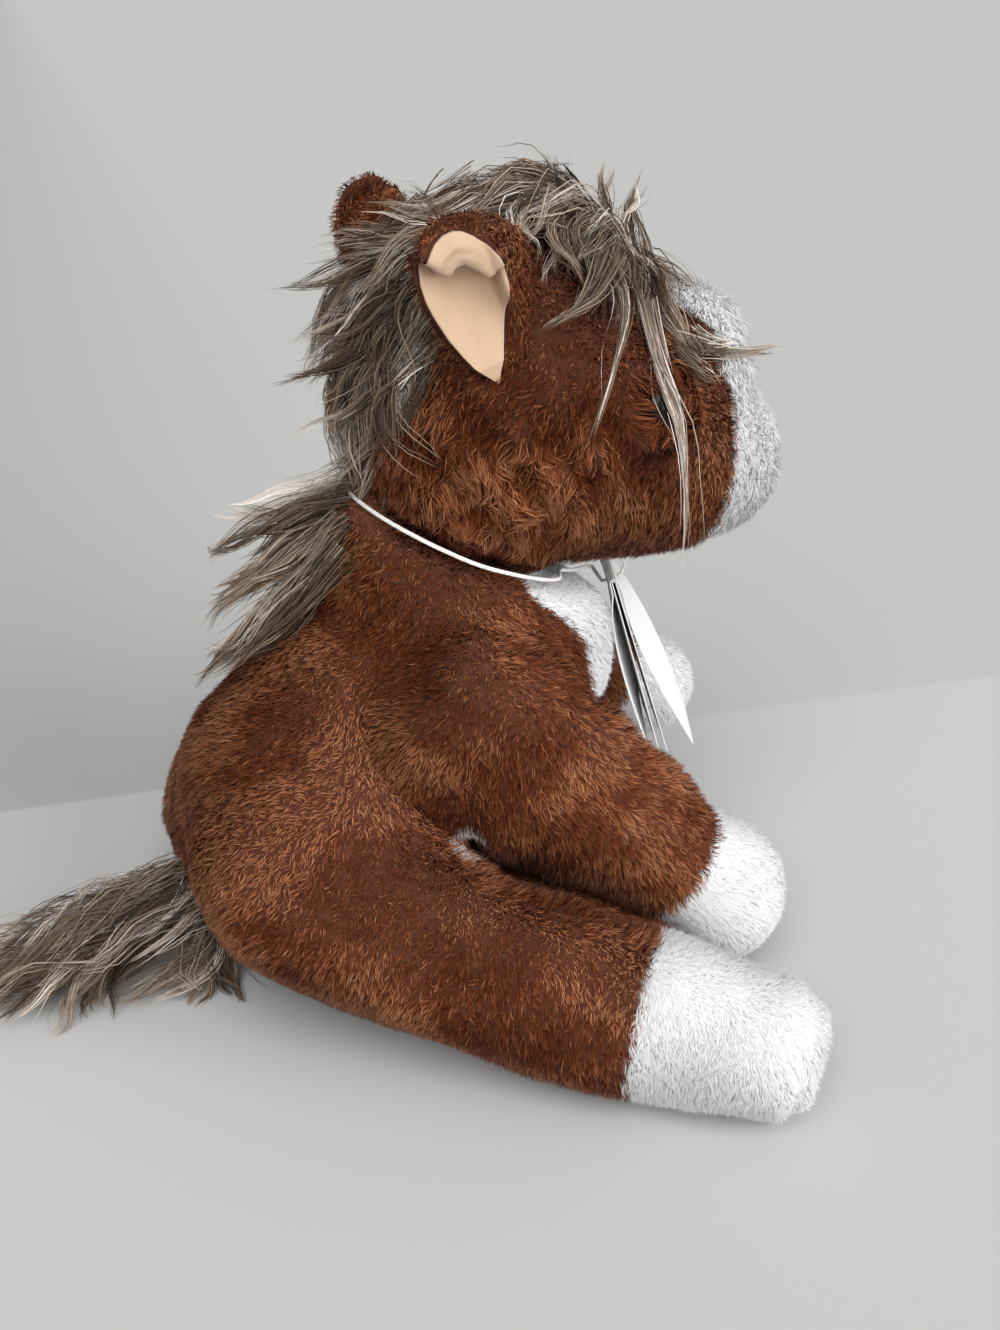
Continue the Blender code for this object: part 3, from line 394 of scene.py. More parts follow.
def surface(name, field, material):
    """The zero surface of a field as a smooth closed mesh that stands on the floor."""
    grid = openvdb.FloatGrid(float(REACH) * CELL)
    grid.copyFromArray(np.ascontiguousarray(field, dtype=np.float32), ijk=GRID_LOW)
    grid.transform = openvdb.createLinearTransform(CELL)
    points, quads = grid.convertToQuads(0.0)
    quads = quads.astype(int)
    both = np.concatenate([quads[:, [k, (k + 1) % 4]] for k in range(4)])
    both = np.concatenate((both, both[:, ::-1]))
    count = np.bincount(both[:, 0], minlength=len(points))[:, None]
    for _ in range(SMOOTHING_ROUNDS):
        sums = [np.bincount(both[:, 0], points[both[:, 1], axis], len(points)) for axis in range(3)]
        points = 0.5 * points + 0.5 * np.stack(sums, 1) / count
    points[:, 2] = np.maximum(points[:, 2], FORM_FLOOR)
    mesh = bpy.data.meshes.new(name)
    mesh.from_pydata(points.tolist(), [], quads.tolist())
    mesh.update()
    item = add_object(name, mesh, material)
    print(name, len(points), "vertices")
    return item


# %% Backing cloth
backing, start, principled = new_material("backing cloth", Roughness=0.95)
grain = start.noise(900.0, 3.0)
panel = start.node("ShaderNodeAttribute", {"attribute_name": "white"}, output=2)
brown = (0.4 + grain).tint((0.100, 0.026, 0.009))
white = (0.7 + 0.5 * grain).tint((0.92, 0.92, 0.92))
feed(principled, "Base Color", panel.mix(brown, white))
feed_bump(principled, grain, 0.4, 0.4 * MM)

# %% The forms
# How far the cloth stands off the stuffing, the soft web between a leg and the torso, and room for the cord.
BODY_SWELL, LEG_SWELL = 1.0 * MM, 2.2 * MM
WEB, WEB_REACH, WEB_BELOW = 40.0 * MM, 30.0 * MM, 0.8 * MM
CORD_ROOM = 2.0 * MM
FACET_ROUNDS = 4
# Ellipsoids, each a middle and radii in mm, and the width of the soft web that joins them on.
HAUNCHES = {"right": ((-27, -50, 50), (42, 28, 48)), "left": ((-20, 46, 44), (36, 27, 40))}
HAUNCH_WEB = 24.0 * MM
KNEE, KNEE_WEB = ((86, 58, 23), (40, 20, 18)), 12.0 * MM
BROW, BROW_WEB = ((129, -3, 233), (24, 22, 24)), 14.0 * MM
# The right haunch is rounded off below by slanting planes, each a point and a direction out of the cloth.
HAUNCH_PLANES = [
    ((-67.1, -55.0, 69.0), (-0.992, -0.025, -0.127)), ((-57.8, -55.0, 38.2), (-0.799, -0.306, -0.517)),
    ((-34.2, -55.0, 14.9), (-0.536, -0.467, -0.704)), ((2.1, -55.0, -11.5), (-0.500, -0.484, -0.718)),
]
PILE_ROOM, PLANE_EDGE = 3.0 * MM, 10.0 * MM
# The belly between the legs, and the slit under the right armpit that shows a bit of white fluff.
BELLY, BELLY_WEB = ((54, -12, 38), (22, 26, 24)), 12.0 * MM
BELLY_TOP = 72.0 * MM
NAPE, NAPE_WEB = ((11, 0, 186), (10, 17, 10)), 8.0 * MM
SLIT_START, SLIT_END, SLIT_RADIUS, SLIT_EDGE = (29, -76, 81), (39, -46, 62), 5.0 * MM, 4.0 * MM
FLUFF, FLUFF_RADIUS = (31, -68, 77), 6.5 * MM
# The groove round a sole, and the lid of cloth that stands round an eye.
SEAM_DEPTH, SEAM_WIDTH, SEAM_RUN = 1.8 * MM, 2.5 * MM, 5.0 * MM
LID_RING, LID_WIDTH, LID_HEIGHT = (13, 13, 13), 5.0 * MM, 4.5 * MM
SIDES = ("right", "left")
LEGS = [f"{side}_{end}_leg" for side in SIDES for end in ("front", "hind")]

cord_room = CORD_ROOM - field_of("neck_cord")
fields = {body: soften(field_of(body + "_stuffing"), FACET_ROUNDS) - BODY_SWELL for body in ("torso", "head")}
nape = np.maximum(ellipsoid(*NAPE), cord_room)
fields["torso"] = smooth_min(smooth_min(fields["torso"], ellipsoid(*BELLY), BELLY_WEB), nape, NAPE_WEB)
fields["torso"] -= dents(DENT_MM)
slit = tube(SLIT_START, SLIT_END, SLIT_RADIUS)
fields["head"] = smooth_min(fields["head"], ellipsoid(*BROW), BROW_WEB) - folds(FOLD_MM)
eye_middles = [np.mean(arrays(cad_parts[side + "_eye"])[0], axis=0) for side in SIDES]
for middle in eye_middles:
    away = ellipsoid(middle / MM, LID_RING)
    fields["head"] -= LID_HEIGHT * np.exp(-(away / LID_WIDTH) ** 2)
seams = {}
for body in LEGS:
    side = body.split("_")[0]
    leg = soften(field_of(body + "_stuffing"), FACET_ROUNDS) - LEG_SWELL - dents(DENT_MM)
    if "hind" in body:
        leg = smooth_min(leg, ellipsoid(*HAUNCHES[side]), HAUNCH_WEB)
        (x, y, z), radii = KNEE
        leg = smooth_min(leg, ellipsoid((x, -y if side == "right" else y, z), radii), KNEE_WEB)
        sole, foot = field_of(body + "_sole"), field_of(body + "_foot")
        seams[body] = np.abs(sole - foot) + np.maximum(np.maximum(sole, foot) - SEAM_RUN, 0.0)
        leg += SEAM_DEPTH * np.exp(-(seams[body] / SEAM_WIDTH) ** 2)
    web = smooth_min(fields["torso"] + WEB_BELOW, leg, WEB)
    fields[body] = np.maximum(np.maximum(web, leg - WEB_REACH), cord_room)
    if body.startswith("right"):
        fields[body] = smooth_max(fields[body], -slit, SLIT_EDGE)
    if body == "right_hind_leg":
        for plane in HAUNCH_PLANES:
            fields[body] = smooth_max(fields[body], half_space(*plane) + PILE_ROOM, PLANE_EDGE)
forms = {body: surface(body + "_cloth", field, backing) for body, field in fields.items()}

# %% [markdown]
# ## White and brown panels
#
# The bib, the blaze, the muzzle and the feet are white plush sewn to brown. For each point of a form the
# nearer CAD panel says which it is, so the colours meet along the real seams. The torso and the head ride on
# their bodies; the forms of the legs stay where they are made.

# %% Which panel a point belongs to
PANELS = {
    "torso": (["chest_bib"], ["torso_skin"]),
    "head": (["blaze", "muzzle"], ["head_skin"]),
    "front": (["_foot"], ["_skin"]),
    "hind": (["_foot", "_sole"], ["_skin"]),
}
# The white of the bib and of the brow spreads over its seams, and the far foot's starts further down the leg.
BIB_MARGIN, BROW_MARGIN, FAR_FOOT_MARGIN = 9.0 * MM, 9.0 * MM, 8.0 * MM
# Where they count: each ramp is a start and a width in metres, ahead or above.
CHEST_AHEAD, CHEST_BELOW, CHEST_ABOVE, CHEST_HALF = (0.062, 0.02), 0.165, 0.085, 0.062
BROW_AHEAD, BROW_ABOVE = (0.108, 0.01), (0.222, 0.01)
BELLY_WHITENESS = -10.0 * MM
# Where a leg's form starts to leave the torso and where it has left it, in mm on the horse's left side.
BENDS = {
    "front": ((20, 46, 135), (70, 60, 100)),
    "hind": ((-62, 46, 42), (-10, 72, 40)),
}


def panels_of(body):
    """The white and the brown nodes of a form."""
    kind = next(key for key in PANELS if key in body)
    if kind == body:
        return PANELS[kind]
    white, brown = ([body + ending for ending in endings] for endings in PANELS[kind])
    return white, brown


def whiteness(body):
    """How much nearer each vertex of the form is to a white panel than to the brown one, in metres."""
    points, _, _ = arrays(forms[body])
    white, brown = panels_of(body)
    if body in LEGS:
        white, brown = white + ["chest_bib"], brown + ["torso_skin"]
    white_tree = tree_of(*[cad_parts[node] for node in white])
    brown_tree = tree_of(*[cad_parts[node] for node in brown])
    near = np.array([brown_tree.find_nearest(point)[3] - white_tree.find_nearest(point)[3]
                     for point in points])
    x, y, z = points.T
    if body in ("torso", "right_front_leg"):
        chest = ramp(x, *CHEST_AHEAD) * (z > CHEST_ABOVE) * (z < CHEST_BELOW)
        near += BIB_MARGIN * chest * (y > -CHEST_HALF)
    if body == "torso":
        near[z < BELLY_TOP] = BELLY_WHITENESS
    if not body.startswith("left"):
        near = np.maximum(near, FLUFF_RADIUS - np.linalg.norm(points - np.array(FLUFF) * MM, axis=1))
    if body == "left_front_leg":
        near -= FAR_FOOT_MARGIN
    if body == "head":
        near += BROW_MARGIN * (ramp(x, *BROW_AHEAD) * ramp(z, *BROW_ABOVE))
    return near


def go_with(item, body):
    """Let a piece follow its body, or stay where it is made if it belongs to a leg."""
    if body in LEGS:
        start, end = (Vector(place) * MM for place in BENDS["front" if "front" in body else "hind"])
        if body.startswith("right"):
            start.y, end.y = -start.y, -end.y
        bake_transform(item)
    else:
        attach(item, body)


whites = {}
for body, form in forms.items():
    whites[body] = whiteness(body)
    shown = form.data.attributes.new("white", "FLOAT", "POINT")
    shown.data.foreach_set("value", np.clip(0.5 + whites[body] / MM, 0.0, 1.0).astype(np.float32))
    go_with(form, body)
    white, brown = panels_of(body)
    inner = [body + "_stuffing"] + (["pellet_bag"] if body == "torso" else [])
    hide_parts(*white, *brown, *inner)

# %% [markdown]
# ## Growing the pile
#
# Roots are scattered evenly over each form. Every blade leans along the nap, the direction in which the
# cloth was brushed, and its tip is drawn a little to the tip of its tuft. Smooth noise turns the nap and
# changes the length from place to place. The blades carry the normals of the cloth under them, so the pile
# takes the light as one soft surface. One blade is a four-sided foot and a three-sided tip.


# %% Smooth noise
def drift(points, size, seed):
    """A smooth random value from about -1 to 1 for each point, with features of the given size."""
    rng = np.random.default_rng(seed)
    total = np.zeros(len(points))
    for _ in range(7):
        wave = rng.normal(size=3)
        wave *= rng.uniform(0.6, 1.6) * math.pi / (np.linalg.norm(wave) * size)
        total += np.sin(points @ wave + rng.uniform(0.0, 2.0 * math.pi))
    return total / 2.6


def unit(vectors):
    return vectors / np.maximum(np.linalg.norm(vectors, axis=-1, keepdims=True), 1e-12)


def scatter(item, per_mm2, rng):
    """Random points on a mesh: each one's three vertices and its shares of them."""
    points, triangles, _ = arrays(item)
    a, b, c = (points[triangles[:, corner]] for corner in range(3))
    areas = 0.5 * np.linalg.norm(np.cross(b - a, c - a), axis=1)
    count = int(areas.sum() / MM ** 2 * per_mm2)
    chosen = rng.choice(len(triangles), count, p=areas / areas.sum())
    first, second = rng.random((2, count))
    fold = first + second > 1.0
    first[fold], second[fold] = 1.0 - first[fold], 1.0 - second[fold]
    return triangles[chosen], np.stack((1.0 - first - second, first, second), 1)


def at_spots(values, corners, shares):
    """Vertex values at the scattered points."""
    return np.einsum("ij,ij...->i...", shares, values[corners])


def strips(name, rows, widths, across, shade, material, normals=None):
    """Thin strips through rows of points (strand, place, axis), each narrowing to one point."""
    strands, places, _ = rows.shape
    ups = np.linspace(0.0, 1.0, places)
    half = 0.5 * widths[:, :, None] * across
    left, right = rows - half, rows + half
    inner = np.stack((left[:, :-1], right[:, :-1]), 2).reshape(strands, -1, 3)
    vertices = np.concatenate((inner, rows[:, -1:]), 1)
    per = vertices.shape[1]
    first = (np.arange(strands) * per)[:, None, None]
    quad = np.array([[2 * k, 2 * k + 1, 2 * k + 3, 2 * k + 2] for k in range(places - 2)])
    tip = np.array([[per - 3, per - 2, per - 1]])
    loops = np.concatenate([(corners[None] + first).reshape(strands, -1) for corners in (quad, tip)], 1)
    sizes = np.tile(np.array([4] * len(quad) + [3]), strands)
    mesh = bpy.data.meshes.new(name)
    mesh.vertices.add(strands * per)
    mesh.vertices.foreach_set("co", vertices.astype(np.float32).ravel())
    mesh.loops.add(loops.size)
    mesh.loops.foreach_set("vertex_index", loops.astype(np.int32).ravel())
    mesh.polygons.add(len(sizes))
    mesh.polygons.foreach_set("loop_start", np.concatenate(((0,), np.cumsum(sizes)[:-1])).astype(np.int32))
    mesh.update(calc_edges=True)
    side = np.tile(np.array([0.0, 0.004] * (places - 1) + [0.002]), (strands, 1))
    along = np.repeat(ups[:-1], 2)
    along = np.tile(np.append(along, 1.0), (strands, 1))
    flat = np.stack((shade[:, None] * 0.995 + side, along * 0.999), 2)
    corner_uv = flat.reshape(-1, 2)[loops.ravel()]
    layer = mesh.uv_layers.new(name="OFBake")
    layer.data.foreach_set("uv", corner_uv.astype(np.float32).ravel())
    item = add_object(name, mesh, material)
    if normals is not None:
        shown = mesh.attributes.new("custom_normal", "FLOAT_VECTOR", "POINT")
        shown.data.foreach_set("vector", np.repeat(normals, per, axis=0).astype(np.float32).ravel())
    print(name, strands, "strands,", strands * (2 * places - 3), "triangles")
    return item


# %% Where another body hides the cloth
cord_tree = tree_of(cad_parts["neck_cord"])
covered, flattened = {}, {}
for body, form in forms.items():
    points, _, normals = arrays(form)
    others = [fields[other] for other in fields if other != body]
    depth = np.min([at_points(other, points + normals * 0.5 * MM) for other in others], axis=0)
    covered[body] = np.clip(0.5 - depth / (2.0 * MM), 0.0, 0.85)
    away = np.array([cord_tree.find_nearest(point)[3] for point in points])
    flattened[body] = np.clip((away - 3.0 * MM) / (7.0 * MM), 0.12, 1.0)
    if body in seams:
        flattened[body] *= 1.0 - 0.5 * np.exp(-(at_points(seams[body], points) / SEAM_WIDTH) ** 2)
    print(body, "covered", int((covered[body] > 0.5).sum()), "of", len(points))

# %% [markdown]
# ## Nap
#
# The cloth was brushed down and back on the torso and towards the feet on the legs, and down and back from
# the nose on the head. One rule serves the torso and the legs, so the pile runs over the seams without a
# parting. Behind the jaw and under the ears it is longer and gathers in curls.


# %% Nap, length and pile
def nap_at(body, points):
    """The direction in which the pile of a form lies."""
    if body.endswith("_ear"):
        return np.tile(np.array((-0.5, 0.0, -1.0)), (len(points), 1))
    if body == "head":
        return np.tile(np.array((-0.5, 0.0, -0.85)), (len(points), 1))
    ahead = ramp(points[:, 0], -0.02, 0.12)[:, None]
    return np.array((-0.5, 0.0, -0.9)) + ahead * np.array((0.85, 0.0, 0.1))


def curliness(body, points):
    """From 0 to 1 where the head's pile is long and curled."""
    if body != "head":
        return np.zeros(len(points))
    back = np.exp(-((points[:, 0] - 0.046) / 0.036) ** 2 - ((points[:, 2] - 0.200) / 0.028) ** 2)
    return np.clip(1.4 * back, 0.0, 1.0)


def tuft_owners(spots, each, rng):
    """For each root, one of the roots chosen as the middle of a tuft."""
    tufts = rng.choice(len(spots), max(len(spots) // each, 1), replace=False)
    tree = KDTree(len(tufts))
    for index, tuft in enumerate(tufts):
        tree.insert(spots[tuft], index)
    tree.balance()
    return tufts[np.array([tree.find(spot)[1] for spot in spots])]


TONES = {"head": 0.09, "rest": 0.14}
SEAM_MIX = 0.7 * MM
PILE_FLOOR, CRUSHED_HEIGHT = 0.3 * MM, 6.0 * MM
# The ring of pile that lies over an eye's rim: its radius and its width.
EYE_RING, EYE_RING_WIDTH = 10.0 * MM, 4.0 * MM
WHITE_BROW = (0.212, 0.015)
# Painted sheen and painted shade: where the crushed cloth catches the light its pile is painted lighter, with
# more glints, and where it is smooth and in shade darker. Each is a place and a radius in mm, and an amount.
PAINTED_SHEEN_AND_SHADE = [
    (-10, -55, 108, 34, 0.7), (-45, -55, 106, 26, 0.5), (-33, -55, 80, 26, 0.5), (75, -55, 84, 26, 0.2),
    (-15, -75, 45, 26, 0.4), (52, -75, 32, 26, 0.5), (-52, -60, 60, 22, 0.5),
    (20, -50, 145, 24, -0.7), (-2, -50, 150, 20, -0.4), (-33, -50, 140, 22, -0.3), (50, -52, 110, 24, -0.5),
    (38, -70, 55, 26, -1.0), (5, -70, 62, 24, -0.9), (52, -70, 46, 22, -0.8),
    (40, -55, 195, 22, 0.4), (28, -55, 200, 18, 0.5), (60, -55, 185, 22, 0.5), (95, -55, 190, 20, 0.4),
    (68, -55, 240, 24, -0.8), (74, -55, 212, 16, -0.8), (50, -55, 226, 18, -0.6), (108, -50, 205, 20, -0.5),
]


def grow(body, name, form, white, cover, flat, is_white, per_mm2, width, length, seed):
    """The pile of one form, on its brown or its white panels."""
    rng = np.random.default_rng(seed)
    points, _, normals = arrays(form)
    corners, shares = scatter(form, per_mm2, rng)
    spots = at_spots(points, corners, shares)
    up = unit(at_spots(normals, corners, shares))
    count = len(spots)
    mine = (at_spots(white, corners, shares) + SEAM_MIX * rng.normal(size=count) > 0.0) == is_white
    hidden = at_spots(cover, corners, shares) > rng.random(count)
    # The toy sits on some of its pile, so there is less of it close to the floor.
    under = (up[:, 2] < -0.8) & (spots[:, 2] < CRUSHED_HEIGHT) & (rng.random(count) > 0.4)
    keep = mine & ~hidden & ~under
    spots, up = spots[keep], up[keep]
    short = at_spots(flat, corners, shares)[keep]
    count = len(spots)
    small = tuft_owners(spots, 6, rng)

    curl = curliness(body, spots)
    nap = nap_at(body, spots)
    eye = np.zeros(count)
    if body == "head":
        for middle in eye_middles:
            to_eye = middle - spots
            away = np.linalg.norm(to_eye, axis=1)
            near = np.clip(1.8 - np.abs(away - EYE_RING) / EYE_RING_WIDTH, 0.0, 1.0)
            nap = nap + (unit(to_eye) * 1.2 - 0.5 * nap) * near[:, None]
            eye = np.maximum(eye, near)
    nap = unit(nap - (nap * up).sum(1, keepdims=True) * up)
    turn = (0.35 + 0.35 * curl) * drift(spots, 0.030, seed + 1) + 0.25 * curl * drift(spots, 0.012, seed + 6)
    turn += (0.30 + 0.35 * curl) * rng.normal(size=count)[small] + 0.25 * rng.normal(size=count)
    turn *= 1.0 - 0.3 * eye
    nap = unit(nap * np.cos(turn)[:, None] + np.cross(up, nap) * np.sin(turn)[:, None])
    if is_white:
        short = np.maximum(short, 0.7)
    brow = (is_white and body == "head") * ramp(spots[:, 2], *WHITE_BROW)
    long = length * (1.0 + 0.12 * drift(spots, 0.014, seed + 2) + 0.8 * curl + 1.2 * eye + 0.7 * brow) * short
    long *= rng.uniform(0.75, 1.15, count)
    lean = np.clip(0.60 + 0.20 * drift(spots, 0.026, seed + 3) + 0.25 * curl + 0.3 * eye, 0.1, 1.0)
    if is_white:
        lean = np.where(rng.random(count) < 0.85, lean + 0.35, 0.5)
    lean = lean[:, None]
    root_way = unit(up + nap * 0.8 * lean * (1.0 - 0.4 * eye[:, None]))
    tip_way = unit(up * (1.2 - lean) + nap * (0.6 + 0.6 * lean))

    middle = spots + root_way * long[:, None] * 0.5
    tip = middle + tip_way * long[:, None] * 0.5
    pull = (rng.uniform(0.05, 0.45, count)[small] + 0.25 * curl)[:, None]
    tip = tip + (tip[small] - tip) * pull
    if curl.max() > 0.1:
        large = tuft_owners(spots, 60, rng)
        tip = tip + (tip[large] - tip) * 0.45 * curl[:, None]
    tip += rng.normal(size=(count, 3)) * 0.35 * MM
    rows = np.stack((spots - up * 0.5 * MM, middle, tip), 1)
    rows[:, :, 2] = np.maximum(rows[:, :, 2], PILE_FLOOR)

    way = unit(tip - spots)
    across = unit(np.cross(way, up) + (0.25 if is_white else 0.45) * rng.normal(size=(count, 3)))
    facing = (np.cross(across, way) * up).sum(1, keepdims=True)
    across = (across * np.sign(facing))[:, None, :]
    widths = np.tile(np.array((1.0, 0.85, 0.0)), (count, 1)) * width * rng.uniform(0.75, 1.25, (count, 1))
    # The pile's tone: random patches, painted light on the bulges of the dents and folds and painted shade in
    # their hollows, the painted sheen and shade of the table, and painted shade on the ring round each eye.
    # The palest strands are painted glints.
    tone_sheen_and_shade = 0.8 * drift(spots, 0.034, 7) + 0.45 * drift(spots, 0.009, 8)
    if body == "head":
        tone_sheen_and_shade = 0.5 * tone_sheen_and_shade + 0.5 * at_points(folds(1.0), spots) / MM
    else:
        tone_sheen_and_shade += 0.3 * at_points(dents(1.0), spots) / MM
    for x, y, z, radius, amount in PAINTED_SHEEN_AND_SHADE:
        tone_sheen_and_shade += amount * np.exp(-((spots - np.array((x, y, z)) * MM) ** 2).sum(1) / (radius * MM) ** 2)
    wave = 0.5 + 0.5 * np.tanh(1.7 * (tone_sheen_and_shade - 1.2 * eye))
    tone = TONES["head" if body == "head" else "rest"] + 0.38 * wave
    tone += 0.14 * rng.normal(size=count) + 0.10 * rng.normal(size=count)[small]
    painted_glint = rng.random(count) < 0.02 + 0.46 * wave ** 2
    tone = np.where(painted_glint, rng.uniform(0.62, 0.98, count), np.clip(tone, 0.0, 0.6))
    item = strips(name, rows, widths, across, np.clip(tone, 0.0, 1.0), white_fur if is_white else brown_fur,
                  unit(up + (0.10 if is_white else 0.25) * tip_way
                       + (0.03 if is_white else 0.10) * rng.normal(size=(count, 3))))
    go_with(item, body)


# %% Grow it
# For the brown and the white pile: blades on each square mm, their width and their length.
PILES = {"_pile": (1.42, 0.38 * MM, 4.6 * MM), "_white_pile": (3.0, 0.30 * MM, 4.8 * MM)}
for number, (body, form) in enumerate(forms.items()):
    for is_white, (kind, pile) in enumerate(PILES.items()):
        grow(body, body + kind, form, whites[body], covered[body], flattened[body], bool(is_white), *pile,
             100 + 20 * number + is_white)

# %% [markdown]
# ## Ears
#
# Each ear is two cloths: chestnut plush behind and round the rim, smooth tan velour inside. The velour's
# upper lobe is folded forward over itself, which leaves a sharp crease with a shadow under it; that shadow
# and the other creases are darkened with painted shade in the velour's colour.

# %% Velour
velour, start, principled = new_material("tan velour", Roughness=0.85, Sheen_Weight=0.2)
nap_noise = start.noise(260.0, 4.0)
cloudy = start.noise(45.0, 2.0)
crease = start.node("ShaderNodeAttribute", {"attribute_name": "crease"}, output=2)
plain = (0.80 + 0.16 * nap_noise + 0.24 * cloudy).tint((0.54, 0.375, 0.250))
# Painted shade: the velour turns dark brown in its creases and under the fold.
feed(principled, "Base Color", (0.90 * crease).mix(plain, (0.22, 0.105, 0.050, 1.0)))
feed_bump(principled, nap_noise, 0.35, 0.3 * MM)

# %% Ear shapes
EARS = {
    "right": (1.0, (47.5, -47.41, 245.7), (0.923, -0.0591, 0.3802), (-0.383, -0.2379, 0.8926),
              (0.0377, -0.9695, -0.2422)),
    "left": (0.86, (39.28, 40.11, 249.82), (-0.9385, -0.2088, -0.275), (-0.3196, 0.2235, 0.9208),
             (-0.1308, 0.9521, -0.2765)),
}
# Heights in mm over the ear's foot, and the two edges of the velour and of the plush there.
VELOUR_EDGES = [
    (-7.5, -2.4, -1.6), (-4.0, -4.6, -0.2), (1.0, -7.9, 2.8), (5.9, -9.8, 5.4), (13.8, -12.2, 8.8),
    (23.9, -14.0, 12.3), (30.0, -14.6, 12.4), (36.0, -14.2, 11.4), (41.0, -12.6, 9.2),
    (45.5, -9.4, 6.0), (48.0, -6.0, 3.4), (49.2, -2.6, 0.6),
]
PLUSH_EDGES = [
    (-6.5, -3.0, 4.0), (-4.0, -6.0, 8.0), (1.0, -9.0, 12.0), (5.9, -10.6, 15.5), (13.8, -13.0, 20.0),
    (23.9, -14.8, 23.0), (30.0, -15.4, 23.0), (36.0, -15.2, 21.0), (41.0, -14.2, 18.0),
    (46.0, -12.0, 14.0), (50.5, -8.0, 8.5), (52.5, -4.0, 3.0),
]


def edge_grid(table, rows, columns):
    """Heights and places across, in mm, filling the outline between two edges."""
    low, left, right = (np.array(column) for column in zip(*table))
    v = low[0] + (low[-1] - low[0]) * (0.5 - 0.5 * np.cos(np.linspace(0.0, math.pi, rows)))
    share = np.linspace(0.0, 1.0, columns)[None, :]
    a, b = np.interp(v, low, left)[:, None], np.interp(v, low, right)[:, None]
    return np.repeat(v[:, None], columns, axis=1), a + (b - a) * share


def fold_line(u):
    """The height in mm of the fold's lower edge across the ear."""
    return 35.0 - 0.55 * u + 2.4 * np.sin(0.50 * u + 1.6)


def creases_and_shade(v, u):
    """From 0 to 1 in the creases of the velour: under the fold, an arch in the folded lobe and along the rim.
    It dents the velour and darkens it as painted shade.
    """
    line = fold_line(u)
    under = np.exp(-np.maximum(line - v, 0.0) / 3.0) * (v < line + 0.6)
    arch = 43.5 - 0.09 * (u + 1.0) ** 2
    wrinkle = np.exp(-((v - arch) / 0.9) ** 2) * (v > line) * np.clip(1.0 - np.abs(u + 1.0) / 9.0, 0.0, 1.0)
    edge = np.exp(-((u - 8.8) / 1.1) ** 2) * ramp(v, 8.0, 12.0) * (v < 42.0)
    return np.clip(0.9 * under + 0.5 * wrinkle + 0.5 * edge, 0.0, 1.0)


def velour_depth(v, u):
    """How far the velour stands forward of the ear's plane, in mm."""
    line = fold_line(u)
    below = np.clip(v / line, 0.0, 1.0)
    bowl = 1.5 - 7.0 * np.clip(1.0 - (u / 15.0) ** 2, 0.0, 1.0) * np.sin(math.pi * 0.80 * below) ** 0.8
    above = ramp(v, line, 50.0 - line)
    lobe = 1.0 + 4.5 * np.sin(math.pi * (0.18 + 0.74 * above))
    step = np.clip((v - line + 0.5) / 1.2, 0.0, 1.0)
    step = step * step * (3.0 - 2.0 * step)
    rim = 3.0 * np.exp(-((u - 10.8) / 1.5) ** 2) * ramp(v, 6.0, 12.0) * (1.0 - step)
    return bowl * (1.0 - step) + lobe * step + rim - 1.2 * creases_and_shade(v, u)


def leaf(name, side, v, u, depth, thickness, material):
    """A closed sheet of cloth from places on the ear, in mm, and a thickness towards its back."""
    scale, base, across, up, face = (np.array(value) for value in EARS[side])
    front = base + scale * (up * v[..., None] + across * u[..., None] + face * depth[..., None])
    back = front - face * thickness * scale
    rows, columns = v.shape
    points = np.concatenate((front.reshape(-1, 3), back.reshape(-1, 3))) * MM
    index = np.arange(rows * columns).reshape(rows, columns)
    ring = np.concatenate((index[0], index[1:, -1], index[-1, -2::-1], index[-2:0:-1, 0]))
    cells = np.stack((index[:-1, :-1], index[:-1, 1:], index[1:, 1:], index[1:, :-1]), -1).reshape(-1, 4)
    after = np.roll(ring, -1)
    shift = rows * columns
    walls = np.stack((ring, ring + shift, after + shift, after), 1)
    mesh = bpy.data.meshes.new(name)
    mesh.from_pydata(points.tolist(), [], np.concatenate((cells, cells[:, ::-1] + shift, walls)).tolist())
    mesh.update()
    builder = bmesh.new()
    builder.from_mesh(mesh)
    bmesh.ops.recalc_face_normals(builder, faces=builder.faces)
    builder.to_mesh(mesh)
    builder.free()
    return add_object(name, mesh, material)


# The thickness of the two cloths in mm, and the ears' pile in the same order as the forms' pile.
VELOUR_THICK, PLUSH_THICK = 1.0, 2.2
EAR_PILE = (2.2, 0.38 * MM, 3.0 * MM)
PLUSH_RIM, PLUSH_RIM_DEPTH = (10.0, 12.0), -7.0
for number, side in enumerate(SIDES):
    body = side + "_ear"
    v, u = edge_grid(VELOUR_EDGES, 60, 31)
    lining = leaf(side + "_ear_velour", side, v, u, velour_depth(v, u), VELOUR_THICK, velour)
    # The creases' painted shade, read by the velour's colour.
    shown = lining.data.attributes.new("crease", "FLOAT", "POINT")
    shown.data.foreach_set("value", np.tile(creases_and_shade(v, u).ravel(), 2).astype(np.float32))
    v, u = edge_grid(PLUSH_EDGES, 50, 35)
    beyond = ramp(u, *PLUSH_RIM)
    depth = velour_depth(v, np.clip(u, -14.0, 12.0)) - 1.9
    depth = np.where(u > PLUSH_RIM[0], depth * (1.0 - beyond) + PLUSH_RIM_DEPTH * beyond, depth)
    cloth = leaf(side + "_ear_cloth", side, v, u, depth, PLUSH_THICK, backing)
    cloth.data.attributes.new("white", "FLOAT", "POINT")
    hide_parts(body + "_lining")
    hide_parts(body + "_outer")
    for item, finish in ((lining, "tan_velour"), (cloth, "brown_plush")):
        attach(item, body)
    points, _, normals = arrays(cloth)
    face = np.array(EARS[side][4])
    inner = tree_of(lining)
    near = np.array([inner.find_nearest(point)[3] for point in points])
    bare = ((near < 1.5 * MM) & (normals @ face > 0.0)).astype(float) * 2.0
    grow(body, body + "_pile", cloth, -np.ones(len(points)), bare, np.ones(len(points)), False, *EAR_PILE,
         300 + number)
